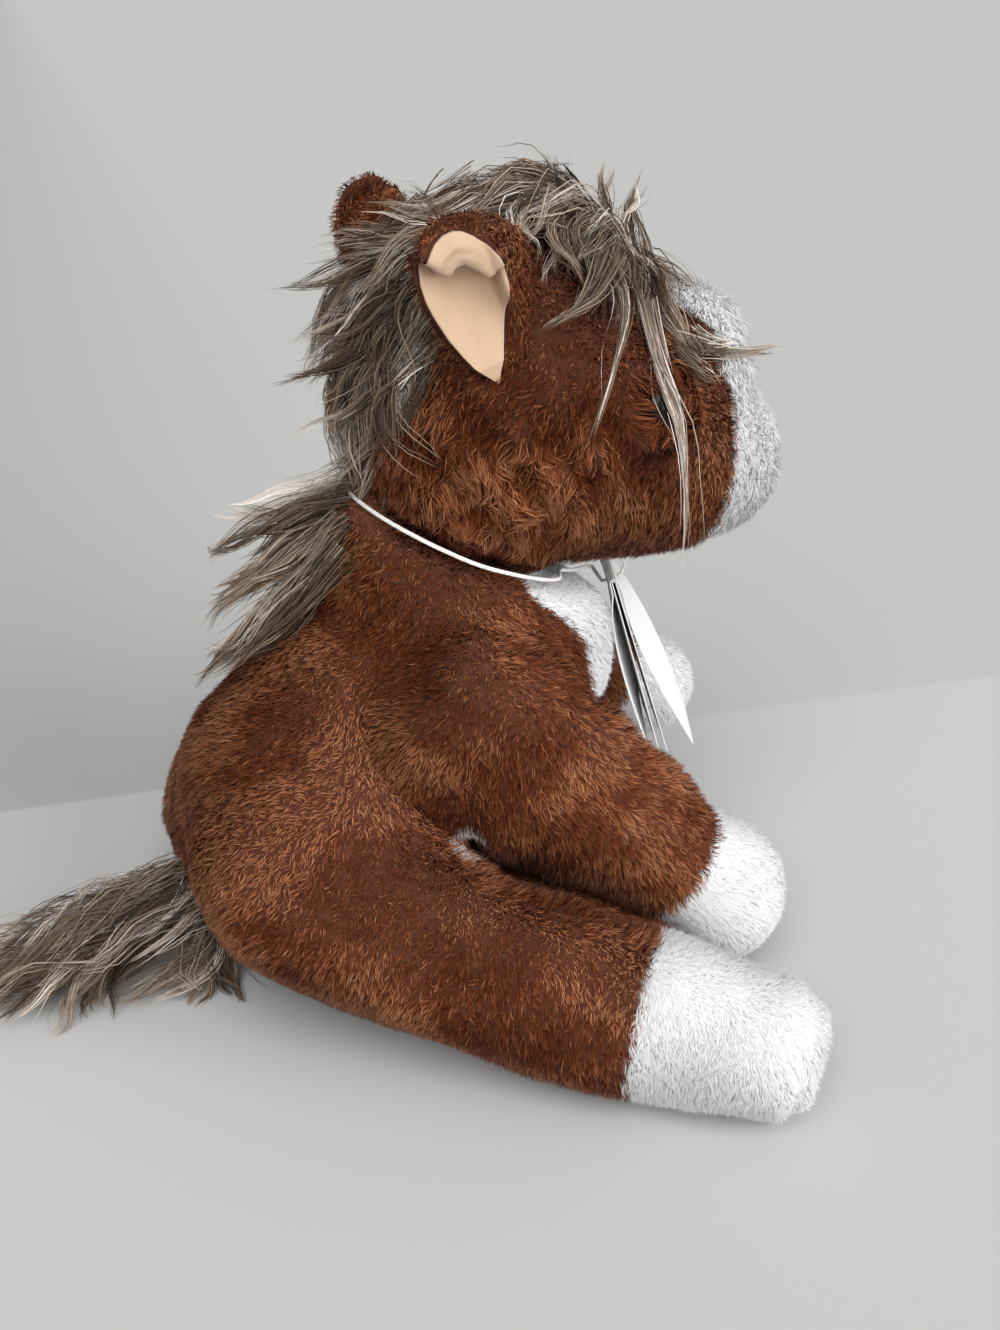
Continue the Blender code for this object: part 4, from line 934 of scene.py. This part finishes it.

# %% [markdown]
# ## Long hair
#
# The mane, the forelock, the tuft on the withers and the tail are long wavy fibre. Two things make it: a
# combed coat that follows the form under it, and single locks, each given by a few points. A
# lock splits into wisps that spread and wave together, and the strands of a wisp meet in its tip.


# %% Smooth lines through points
def spline(points, count):
    """Evenly numbered places on a smooth line through the points, in metres."""
    points = np.asarray(points, float) * MM
    ghost = np.concatenate(([2 * points[0] - points[1]], points, [2 * points[-1] - points[-2]]))
    t = np.linspace(0.0, len(points) - 1.0, count)
    low = np.minimum(t.astype(int), len(points) - 2)
    s = (t - low)[:, None]
    a, b, c, d = (ghost[low + k] for k in range(4))
    return 0.5 * (2 * b + (c - a) * s + (2 * a - 5 * b + 4 * c - d) * s ** 2
                  + (3 * b - a - 3 * c + d) * s ** 3)


# The length of a strand's wave, and the lowest and highest that hair may reach.
WAVE_MM = 46.0
HAIR_FLOOR, HAIR_TOP = 0.4 * MM, 317.0 * MM


def lock(points, count, root, spread, curl, tone, rng, places=12):
    """Strands of one lock. Root and spread are its half-widths in mm at the root and near the tips."""
    line = spline(points, 60)
    way = unit(np.gradient(line, axis=0))
    side = unit(np.cross(way, np.array((0.12, 0.31, 0.94))))
    top = np.cross(way, side)
    reach = np.linalg.norm(np.diff(line, axis=0), axis=1).sum() / MM
    count = int(count * 1.25)
    wisps = max(count // 16, 2)
    group = rng.integers(0, wisps, count)
    ends = rng.uniform(0.62, 1.0, wisps)[group] * rng.uniform(0.85, 1.0, count)
    t = np.linspace(0.0, 1.0, places)[None, :] * ends[:, None]
    index = np.clip(t * 59.0, 0.0, 58.999)
    low = index.astype(int)
    part = (index - low)[..., None]
    middle, sides, tops = (v[low] * (1.0 - part) + v[low + 1] * part for v in (line, side, top))
    wisp = rng.normal(size=(wisps, 2))[group]
    own = rng.normal(size=(count, 2))
    share = t / ends[:, None]
    fan = (root * (1.0 - share) + spread * share) * MM
    stray = 5.0 * (rng.random((count, 1)) < 0.05) * share ** 1.5
    close = (root * 0.4 * (1.0 - share) + 1.1 * (1.0 - share) ** 1.5 + 0.08 + stray) * MM
    turns = rng.uniform(0.75, 1.3, (wisps, 1))[group] * 2.0 * math.pi * reach / WAVE_MM
    phase = rng.uniform(0.0, 2.0 * math.pi, (wisps, 1))[group] + 0.25 * rng.normal(size=(count, 1))
    swing = curl * MM * np.minimum(share * 2.0, 1.0) * rng.uniform(0.5, 1.3, (wisps, 1))[group]
    shift = [fan * 0.6 * wisp[:, k:k + 1] + close * own[:, k:k + 1]
             + swing * np.sin(phase + k * 1.4 + t * turns) for k in (0, 1)]
    rows = middle + sides * shift[0][..., None] + tops * shift[1][..., None]
    tones = tone - 0.06 + 0.29 * rng.normal(size=wisps)[group] + 0.08 * rng.normal(size=count)
    return rows, np.clip(tones, 0.0, 1.0)


def locks_of(table, seed):
    """The strands of every lock in a table."""
    rng = np.random.default_rng(seed)
    return [lock(*row, rng) for row in table]


def coat(form, node, ways_of, length_mm, rise_mm, half_width_mm, count, tone, seed, lowest=0, ahead=200,
         places=9):
    """A combed coat on the part of a form that lies under a CAD hair pad, near the middle plane."""
    rng = np.random.default_rng(seed)
    pad = tree_of(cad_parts[node])
    tree = tree_of(form)
    points, _, _ = arrays(form)
    near = np.array([pad.find_nearest(point)[3] for point in points])
    corners, shares = scatter(form, 0.8, rng)
    spots = at_spots(points, corners, shares)
    under = (at_spots(near, corners, shares) < 7.5 * MM) & (np.abs(spots[:, 1]) < half_width_mm * MM)
    under &= (spots[:, 2] > lowest * MM) & (spots[:, 0] < ahead * MM)
    roots = spots[under][rng.permutation(int(under.sum()))[:count]]
    owner = tuft_owners(roots, 14, rng)
    count = len(roots)
    ways = unit(ways_of(roots)[owner] + 0.30 * rng.normal(size=(count, 3))[owner]
                + 0.10 * rng.normal(size=(count, 3)))
    long = length_mm * MM * rng.uniform(0.6, 1.15, count)[owner] * rng.uniform(0.85, 1.05, count)
    rise = rise_mm * MM * rng.uniform(0.30, 1.1, count)
    phase = rng.uniform(0.0, 2.0 * math.pi, count)[owner]
    rows, spots = [roots], roots.copy()
    for place in range(1, places):
        share = place / (places - 1)
        hits = [tree.find_nearest(spot) for spot in spots]
        normal = np.array([hit[1] for hit in hits])
        spots = np.array([hit[0] for hit in hits]) + (long / (places - 1))[:, None] * unit(
            ways - (ways * normal).sum(1, keepdims=True) * normal * (1.0 - 0.35 * share))
        hits = [tree.find_nearest(spot) for spot in spots]
        normal = np.array([hit[1] for hit in hits])
        wave = 2.2 * MM * np.sin(phase + share * long / (WAVE_MM * MM) * 6.28)
        aside = np.cross(ways, normal) * wave[:, None]
        lift = rise * (0.25 + 0.75 * math.sin(math.pi * min(share, 0.75)))
        spots = np.array([hit[0] for hit in hits]) + normal * lift[:, None] + aside * share
        rows.append(spots)
    rows = np.stack(rows, 1)
    share = np.linspace(0.0, 1.0, places)[None, :, None] ** 1.5
    rows = rows + (rows[owner] - rows) * share * 0.65
    tones = tone + 0.24 * rng.normal(size=count)[owner] + 0.08 * rng.normal(size=count)
    return rows, np.clip(tones, 0.0, 1.0)


def spread_out(rows, places):
    """Strands with another number of places along them."""
    old = rows.shape[1]
    index = np.linspace(0.0, old - 1.001, places)
    low = index.astype(int)
    part = (index - low)[None, :, None]
    return rows[:, low] * (1.0 - part) + rows[:, low + 1] * part


def hair(name, groups, body, node, seed, places=10):
    """One piece of long hair from several groups of strands."""
    rng = np.random.default_rng(seed)
    rows = np.concatenate([spread_out(group[0], places) for group in groups])
    tones = np.concatenate([group[1] for group in groups])
    rows[:, :, 2] = np.clip(rows[:, :, 2], HAIR_FLOOR, HAIR_TOP)
    count = len(rows)
    way = unit(np.gradient(rows, axis=1))
    across = unit(np.cross(way, rng.normal(size=(count, 1, 3))))
    taper = 1.0 - np.linspace(0.0, 1.0, places) ** 3
    widths = rng.uniform(0.28, 0.48, (count, 1)) * MM * taper[None, :]
    item = strips(name, rows, widths, across, tones, taupe_hair)
    if body == "tail":
        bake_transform(item)
    else:
        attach(item, body)
    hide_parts(node)


# %% The locks that show
# Each lock: its points in mm from root to tip, strands, half-width at the root and at the tips, curl, tone.
MANE_LOCKS = [
    ([(30, -10, 262), (18, -14, 258), (4, -16, 252), (-14, -18, 250), (-30, -20, 254)], 50, 2, 2, 2.0, 0.55),
    ([(28, -12, 254), (16, -16, 250), (0, -18, 240), (-18, -20, 236), (-33, -22, 238)], 60, 2, 2, 2.0, 0.35),
    ([(26, -14, 246), (14, -20, 238), (2, -22, 226), (-12, -24, 218), (-26, -26, 214)], 50, 2, 2, 3.0, 0.50),
    ([(30, -22, 250), (22, -30, 240), (14, -32, 226), (6, -32, 212), (-4, -30, 202)], 90, 3, 4, 4.0, 0.30),
    ([(24, -12, 222), (19, -14, 212), (13, -12, 202), (8, -9, 193), (6, -7, 186)], 120, 4, 5, 3.0, 0.42),
    ([(26, -10, 220), (22, -12, 211), (17, -10, 202), (12, -8, 192), (10, -6, 184)], 90, 4, 4, 3.0, 0.36),
    ([(102, 0, 266), (87, -2, 288), (69, -4, 295), (54, -8, 292), (41, -14, 288), (27, -18, 296),
      (16, -20, 302)],
     110, 6, 4, 2.0, 0.45),
    ([(101, -2, 264), (84, -4, 284), (61, -8, 291), (42, -12, 287), (25, -14, 288), (8, -14, 290)],
     160, 6, 3, 2.0, 0.65),
    ([(84, -8, 282), (66, -10, 288), (48, -12, 286), (30, -13, 282), (12, -13, 284), (-4, -13, 282)],
     130, 7, 4, 2.5, 0.50),
    ([(51, -6, 289), (43, -8, 286), (32, -10, 279), (18, -12, 277), (4, -12, 278), (-13, -12, 276)],
     150, 6, 3, 2.0, 0.50),
    ([(44, -4, 286), (40, -8, 281), (25, -10, 272), (7, -12, 269), (-10, -12, 265), (-24, -12, 264)],
     140, 6, 3, 2.0, 0.42),
    ([(41, -4, 282), (36, -8, 277), (19, -12, 272), (10, -14, 264), (-4, -14, 252), (-24, -14, 242)],
     180, 6, 4, 3.0, 0.62),
    ([(37, -4, 274), (32, -8, 271), (14, -12, 260), (0, -12, 244), (-11, -12, 237), (-26, -12, 230)],
     180, 6, 4, 3.0, 0.48),
    ([(33, -4, 264), (29, -8, 262), (15, -12, 253), (6, -12, 244), (-5, -12, 233), (-17, -12, 228)],
     180, 6, 4, 3.0, 0.40),
    ([(31, -4, 261), (27, -8, 259), (16, -10, 250), (7, -10, 238), (1, -10, 228), (-4, -8, 219)],
     180, 6, 4, 3.5, 0.48),
    ([(32, -10, 252), (25, -14, 246), (19, -16, 237), (13, -14, 223), (11, -10, 211), (6, -4, 196)],
     180, 6, 5, 4.0, 0.42),
    ([(34, -20, 252), (27, -26, 242), (24, -28, 233), (23, -26, 222), (21, -20, 212), (14, -12, 202)],
     170, 5, 4, 4.0, 0.64),
    ([(36, -24, 258), (30, -28, 248), (26, -29, 238), (26, -29, 228), (26, -24, 216), (20, -18, 206)],
     130, 4, 3, 3.0, 0.50),
    ([(19, -4, 216), (14, -4, 206), (7, -2, 198), (0, 0, 197), (-9, 0, 195)], 90, 4, 3, 3.0, 0.40),
    ([(40, 6, 282), (28, 12, 272), (12, 16, 256), (2, 16, 240), (-8, 14, 226)], 180, 7, 5, 3.0, 0.45),
    ([(36, 14, 272), (26, 22, 256), (20, 24, 238), (16, 20, 222), (8, 12, 206)], 180, 6, 5, 4.0, 0.50),
    ([(60, 10, 288), (44, 18, 282), (28, 24, 268), (22, 30, 250), (20, 28, 232)], 160, 6, 4, 3.0, 0.55),
]
FORELOCK_LOCKS = [
    ([(109, 0, 252), (108, 0, 264), (107, -2, 275), (107, -2, 288), (107, -2, 301)], 60, 4, 2.0, 2.0, 0.50),
    ([(116, 0, 255), (114, 0, 270), (111, 0, 283), (114, 0, 290), (117, 0, 304)], 60, 4, 1.5, 2.0, 0.55),
    ([(105, 0, 263), (103, 0, 274), (93, 0, 285), (90, 2, 294), (92, 4, 308)], 70, 4, 2.0, 2.0, 0.65),
    ([(102, 0, 267), (99, 0, 277), (87, 0, 289), (81, 0, 295), (76, 0, 306)], 80, 4, 2.0, 2.0, 0.42),
    ([(96, 0, 272), (84, -2, 290), (72, -2, 298), (60, -4, 300), (50, -6, 305)], 110, 5, 3.0, 3.0, 0.55),
    ([(106, -6, 262), (92, -14, 282), (80, -22, 284), (70, -32, 272), (64, -38, 262)],
     120, 6, 3.0, 3.0, 0.46),
    ([(100, -8, 272), (88, -20, 284), (79, -30, 281), (76, -38, 272), (80, -44, 264)],
     150, 6, 5.0, 3.0, 0.36),
    ([(96, -8, 276), (82, -18, 290), (68, -28, 290), (60, -36, 280), (62, -44, 270)], 120, 6, 4.0, 3.0, 0.50),
    ([(108, -8, 262), (98, -20, 276), (92, -32, 268), (88, -40, 256), (84, -45, 247)],
     130, 5, 3.0, 2.5, 0.45),
    ([(112, -8, 258), (106, -22, 266), (104, -34, 258), (102, -42, 246), (100, -46, 238)],
     130, 5, 3.0, 2.5, 0.60),
    ([(114, -8, 256), (113, -22, 260), (115, -32, 252), (116, -40, 242), (118, -43, 234)],
     130, 5, 3.0, 2.5, 0.45),
    ([(94, -30, 268), (92, -47, 260), (86, -58, 246), (77, -63, 226), (70, -63, 208), (63, -60, 190)],
     44, 1.0, 0.3, 0.5, 0.97),
    ([(105, -34, 258), (104, -53, 240), (107, -60, 224), (111, -60, 204), (114, -55, 181), (117, -49, 163)],
     52, 0.9, 0.3, 0.5, 0.97),
    ([(104, -34, 258), (102, -54, 240), (105, -61, 226), (107, -62, 214)], 30, 0.8, 0.3, 0.5, 0.85),
    ([(92, -30, 273), (78, -49, 264), (68, -52, 259), (58, -52, 255), (51, -50, 256)],
     40, 3.0, 0.8, 1.0, 0.50),
    ([(112, -40, 245), (130, -38, 242), (155, -20, 236), (168, -20, 235), (180, -20, 230)],
     34, 4, 1.5, 2.0, 0.60),
    ([(116, -42, 246), (122, -47, 238), (138, -26, 232), (158, -26, 233)], 40, 4, 2.0, 2.0, 0.60),
    ([(110, -4, 262), (119, -10, 260), (123, -18, 253), (124, -26, 244), (126, -32, 236)],
     130, 5, 4.0, 2.0, 0.45),
    ([(122, -34, 246), (130, -34, 243), (138, -30, 240), (147, -28, 238)], 40, 3, 2.0, 2.0, 0.55),
    ([(104, -2, 268), (102, -4, 278), (100, -8, 288), (98, -12, 296), (97, -14, 303)], 50, 3, 3.0, 3.0, 0.60),
    ([(92, 0, 276), (88, -4, 286), (80, -8, 296), (74, -10, 305)], 60, 4, 4.0, 3.0, 0.45),
    ([(110, 6, 260), (112, 20, 260), (112, 34, 250), (112, 44, 236)], 130, 6, 4.0, 3.0, 0.50),
    ([(102, 6, 266), (96, 22, 276), (88, 36, 264), (82, 44, 250)], 130, 6, 4.0, 3.0, 0.55),
]
WITHERS_LOCKS = [
    ([(6, 0, 189), (-8, 0, 186), (-23, 0, 183), (-35, 0, 184), (-46, 0, 186)], 150, 4, 3, 2, 0.70),
    ([(4, -4, 186), (-13, -4, 184), (-27, -6, 182), (-44, -6, 173), (-49, -6, 173)], 90, 4, 3, 3, 0.55),
    ([(3, -6, 183), (-14, -8, 174), (-28, -10, 167), (-42, -10, 162), (-52, -8, 160)], 140, 4, 3, 2, 0.62),
    ([(2, -8, 182), (-15, -12, 168), (-31, -12, 164), (-43, -10, 153), (-53, -8, 142)], 130, 4, 3, 2, 0.48),
    ([(-2, -12, 176), (-18, -14, 160), (-35, -10, 141), (-47, -6, 135), (-51, -4, 133)], 130, 5, 3, 2, 0.40),
    ([(-5, -14, 170), (-22, -16, 149), (-38, -10, 137), (-51, -6, 125), (-60, -4, 122)], 120, 5, 3, 2, 0.45),
    ([(2, 6, 184), (-14, 8, 172), (-28, 10, 162), (-42, 8, 150)], 130, 5, 3, 2, 0.50),
]
TAIL_LOCKS = [
    ([(-62, 0, 38), (-79, -2, 37), (-98, -4, 32), (-117, -4, 28), (-136, -4, 25), (-158, -4, 20)],
     380, 3.5, 4.5, 5, 0.68),
    ([(-63, -4, 36), (-84, -8, 32), (-107, -12, 26), (-130, -15, 21), (-155, -16, 17), (-182, -18, 13)],
     440, 6, 5, 5, 0.40),
    ([(-63, -6, 30), (-81, -10, 25), (-101, -14, 20), (-125, -16, 16), (-150, -18, 13), (-178, -20, 10)],
     440, 6, 5, 5, 0.50),
    ([(-63, 4, 34), (-84, 5, 30), (-107, 1, 24), (-135, -4, 18), (-165, -10, 13), (-190, -14, 9)],
     380, 6, 6, 4, 0.33),
    ([(-63, 6, 26), (-84, 6, 19), (-107, 2, 13), (-135, -3, 11), (-165, -8, 9)], 340, 6, 6, 4, 0.45),
    ([(-60, -10, 34), (-64, -16, 32), (-71, -20, 27), (-84, -22, 22), (-96, -22, 19)], 70, 1.6, 0.8, 1, 0.99),
    ([(-64, -8, 40), (-72, -14, 34), (-84, -18, 28), (-98, -20, 25)], 50, 2, 1, 1, 0.90),
    ([(-60, -12, 20), (-64, -18, 15), (-74, -22, 11), (-88, -26, 7), (-102, -28, 4)], 170, 4, 2, 2, 0.60),
    ([(-57, -12, 14), (-60, -20, 9), (-72, -27, 6), (-90, -32, 3)], 130, 4, 2, 2, 0.55),
    ([(-57, -12, 14), (-56, -22, 5), (-53, -30, 2), (-50, -38, 1)], 60, 4, 2, 2, 0.35),
    ([(-60, -12, 16), (-63, -22, 6), (-66, -30, 2), (-66, -37, 1)], 50, 4, 3, 3, 0.50),
    ([(-84, -14, 20), (-96, -20, 14), (-101, -27, 6), (-99, -35, 1)], 70, 3, 2, 2, 0.35),
    ([(-88, -14, 18), (-101, -21, 13), (-107, -28, 5), (-104, -37, 1)], 60, 3, 2, 2, 0.40),
    ([(-92, -14, 18), (-108, -22, 12), (-116, -30, 5), (-120, -38, 1)], 60, 3, 3, 3, 0.55),
    ([(-110, -14, 18), (-125, -20, 12), (-137, -26, 7), (-150, -30, 4)], 80, 3, 4, 3, 0.60),
]


# %% The hair pieces
def mane_ways(roots):
    """Back over the crown and down the nape, and out to both sides."""
    down = np.clip((0.270 - roots[:, 2]) / 0.05, 0.0, 1.0)
    side = np.clip(roots[:, 1] / 0.03, -1.0, 1.0)
    return np.stack((-1.0 + 0.5 * down, 0.15 * side, -0.15 - 0.9 * down), 1)


def forelock_ways(roots):
    side = np.clip(roots[:, 1] / 0.02 - 0.4, -1.0, 1.0)
    return np.stack((np.full(len(roots), 0.15), 0.7 * side, np.full(len(roots), -0.2)), 1)


def withers_ways(roots):
    return np.tile(np.array((-0.6, 0.0, -0.8)), (len(roots), 1))


crown = coat(forms["head"], "mane", mane_ways, 40, 14, 20, 3200, 0.45, 401, lowest=226)
hair("mane_hair", [crown] + locks_of(MANE_LOCKS, 402), "head", "mane", 403)
fringe = coat(forms["head"], "forelock", forelock_ways, 26, 9, 18, 1300, 0.48, 411, ahead=112)
hair("forelock_hair", [fringe] + locks_of(FORELOCK_LOCKS, 412), "head", "forelock", 413)
ridge = coat(forms["torso"], "withers_tuft", withers_ways, 22, 9, 9, 700, 0.45, 421, lowest=160)
hair("withers_hair", [ridge] + locks_of(WITHERS_LOCKS, 422), "torso", "withers_tuft", 423)
hair("tail_hair", locks_of(TAIL_LOCKS, 431), "tail", "tail", 433)

# %% [markdown]
# ## Eyes
#
# Glossy black domes on a short shank. The CAD model's facets are rounded by subdivision; the washers inside
# the head are carried over with a better finish.

# %% Eyes
gloss, start, principled = new_material("black gloss", Roughness=0.08, Specular_IOR_Level=0.15)
smear = start.noise(220.0, 2.0)
feed(principled, "Base Color", (0.5 + smear).tint((0.010, 0.008, 0.007)))
feed(principled, "Roughness", 0.05 + 0.08 * smear)
washer, start, principled = new_material("moulded washer", Roughness=0.45)
speckle = start.noise(1500.0, 2.0)
feed(principled, "Base Color", (0.85 + 0.2 * speckle).tint((0.75, 0.75, 0.74)))
for side in SIDES:
    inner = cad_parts[side + "_eye_washer"]
    inner.data.materials.clear()
    inner.data.materials.append(washer)
    builder = bmesh.new()
    builder.from_mesh(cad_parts[side + "_eye"].data)
    bmesh.ops.remove_doubles(builder, verts=builder.verts, dist=0.01 * MM)
    eye = add_mesh(side + "_eye_dome", builder, gloss)
    eye.modifiers.new("round", "SUBSURF").levels = 2
    bpy.context.view_layer.update()
    rounded = bpy.data.meshes.new_from_object(eye.evaluated_get(bpy.context.evaluated_depsgraph_get()))
    eye.modifiers.clear()
    eye.data = rounded
    rounded.shade_smooth()
    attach(eye, "head")
    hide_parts(side + "_eye")

# %% [markdown]
# ## Elastic and card
#
# The neck elastic is a thin braid and the tag is plain card with a bare face. The elastic and the inner sheet
# keep their CAD shapes and only need a finish. The cover is given a slight twist as well.

# %% Elastic and card materials
braid, start, principled = new_material("braided elastic", Roughness=0.75)
place = start.node("ShaderNodeTexCoord", output=3)
twist = start.node("ShaderNodeTexWave", {"wave_type": "BANDS", "bands_direction": "DIAGONAL"},
                   {"Vector": place, "Scale": 420.0, "Distortion": 1.0}, output=1)
feed(principled, "Base Color", (0.82 + 0.18 * twist).tint((0.88, 0.85, 0.82)))
feed_bump(principled, twist, 0.6, 0.2 * MM)
card, start, principled = new_material("white card", Roughness=0.5, Specular_IOR_Level=0.3)
pulp = start.noise(700.0, 3.0)
feed(principled, "Base Color", (0.95 + 0.08 * pulp).tint((0.84, 0.84, 0.83)))
feed_bump(principled, pulp, 0.1, 0.05 * MM)
for node, material in (("neck_cord", braid), ("tag_inner_sheet", card)):
    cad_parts[node].data.materials.clear()
    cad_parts[node].data.materials.append(material)

# %% A warped cover
# Card that hangs on a string takes a slight twist: its two long edges turn opposite ways down the sheet.
TAG_TOP = Vector((113.7, 11.49, 139.45)) * MM
TAG_ACROSS = Vector((0.22495, 0.97437, 0.0))
TAG_FACE = Vector((0.956, -0.292, 0.0))
TAG_LONG, TAG_HALF = 80.0 * MM, 21.0 * MM
TWIST = 4.0 * MM

builder = bmesh.new()
builder.from_mesh(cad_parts["tag_cover_sheet"].data)
long_edges = [edge for edge in builder.edges if edge.calc_length() > 6.0 * MM]
bmesh.ops.subdivide_edges(builder, edges=long_edges, cuts=7, use_grid_fill=True)
for vertex in builder.verts:
    down = min(max((TAG_TOP.z - vertex.co.z) / TAG_LONG, 0.0), 1.0)
    across = (vertex.co - TAG_TOP).dot(TAG_ACROSS) / TAG_HALF
    vertex.co += TAG_FACE * (TWIST * across * math.sin(math.pi * down ** 0.7))
cover = add_mesh("tag_cover_card", builder, card, smooth=False)
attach(cover, "tag")
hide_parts("tag_cover_sheet")

# %% [markdown]
# ## Floor, wall and light
#
# A pale floor ends at a pale wall, as in the photograph. Wide soft lamps and a pale world light the toy.

# %% Stage
WALL_LINE = 0.1416
WALL_SLOPE = -0.0131
WALL_BLUR = 0.002
SHADE_START, SHADE_END = 0.15, -0.45
FLOOR_TONE = (0.565, 0.560, 0.550, 1.0)
WALL_TONE = (0.520, 0.520, 0.507, 1.0)
WALL_SHADE = (0.370, 0.370, 0.360, 1.0)
ROOM_LIGHT = (0.30, 0.303, 0.306, 1.0)

floor_material, start, principled = new_material("pale floor", Roughness=0.8, Specular_IOR_Level=0.1)
position = start.node("ShaderNodeNewGeometry", output=0)
x, y = position.axis(0), position.axis(1)
beyond = start.node("ShaderNodeMapRange", {},
                    {0: y - x * WALL_SLOPE, 1: WALL_LINE - WALL_BLUR, 2: WALL_LINE + WALL_BLUR})
# Painted shade: the wall is painted darker from its right end towards its left.
wall_shade_fade = start.node("ShaderNodeMapRange", {}, {0: x, 1: SHADE_END, 2: SHADE_START})
feed(principled, "Base Color", beyond.mix(FLOOR_TONE, wall_shade_fade.mix(WALL_SHADE, WALL_TONE)))
builder = bmesh.new()
builder.faces.new([builder.verts.new((x, y, 0.0)) for x, y in ((-30, -30), (30, -30), (30, 30), (-30, 30))])
floor = add_mesh("floor", builder, floor_material, smooth=False)

world = bpy.data.worlds.new("room")
world.use_nodes = True
bpy.context.scene.world = world
room = Socket(world.node_tree)
camera, glossy, through = (room.node("ShaderNodeLightPath", output=f"Is {ray} Ray")
                           for ray in ("Camera", "Glossy", "Transmission"))
background = world.node_tree.nodes["Background"]
tone = (camera + glossy + through).mix(ROOM_LIGHT, WALL_TONE)
world.node_tree.links.new(tone.output, background.inputs["Color"])


def add_sun(name, direction, spread, strength):
    """A wide soft light that comes from one direction."""
    data = bpy.data.lights.new(name, "SUN")
    data.angle = math.radians(spread)
    data.energy = strength
    lamp = bpy.data.objects.new(name, data)
    lamp.rotation_euler = Vector(direction).to_track_quat("Z", "Y").to_euler()
    bpy.context.scene.collection.objects.link(lamp)


add_sun("ceiling", (-0.35, -0.9, 1.0), 50.0, 2.2)
add_sun("window", (0.80, -1.0, 0.42), 50.0, 2.8)

# %% View
bpy.context.scene.view_settings.view_transform = "Standard"
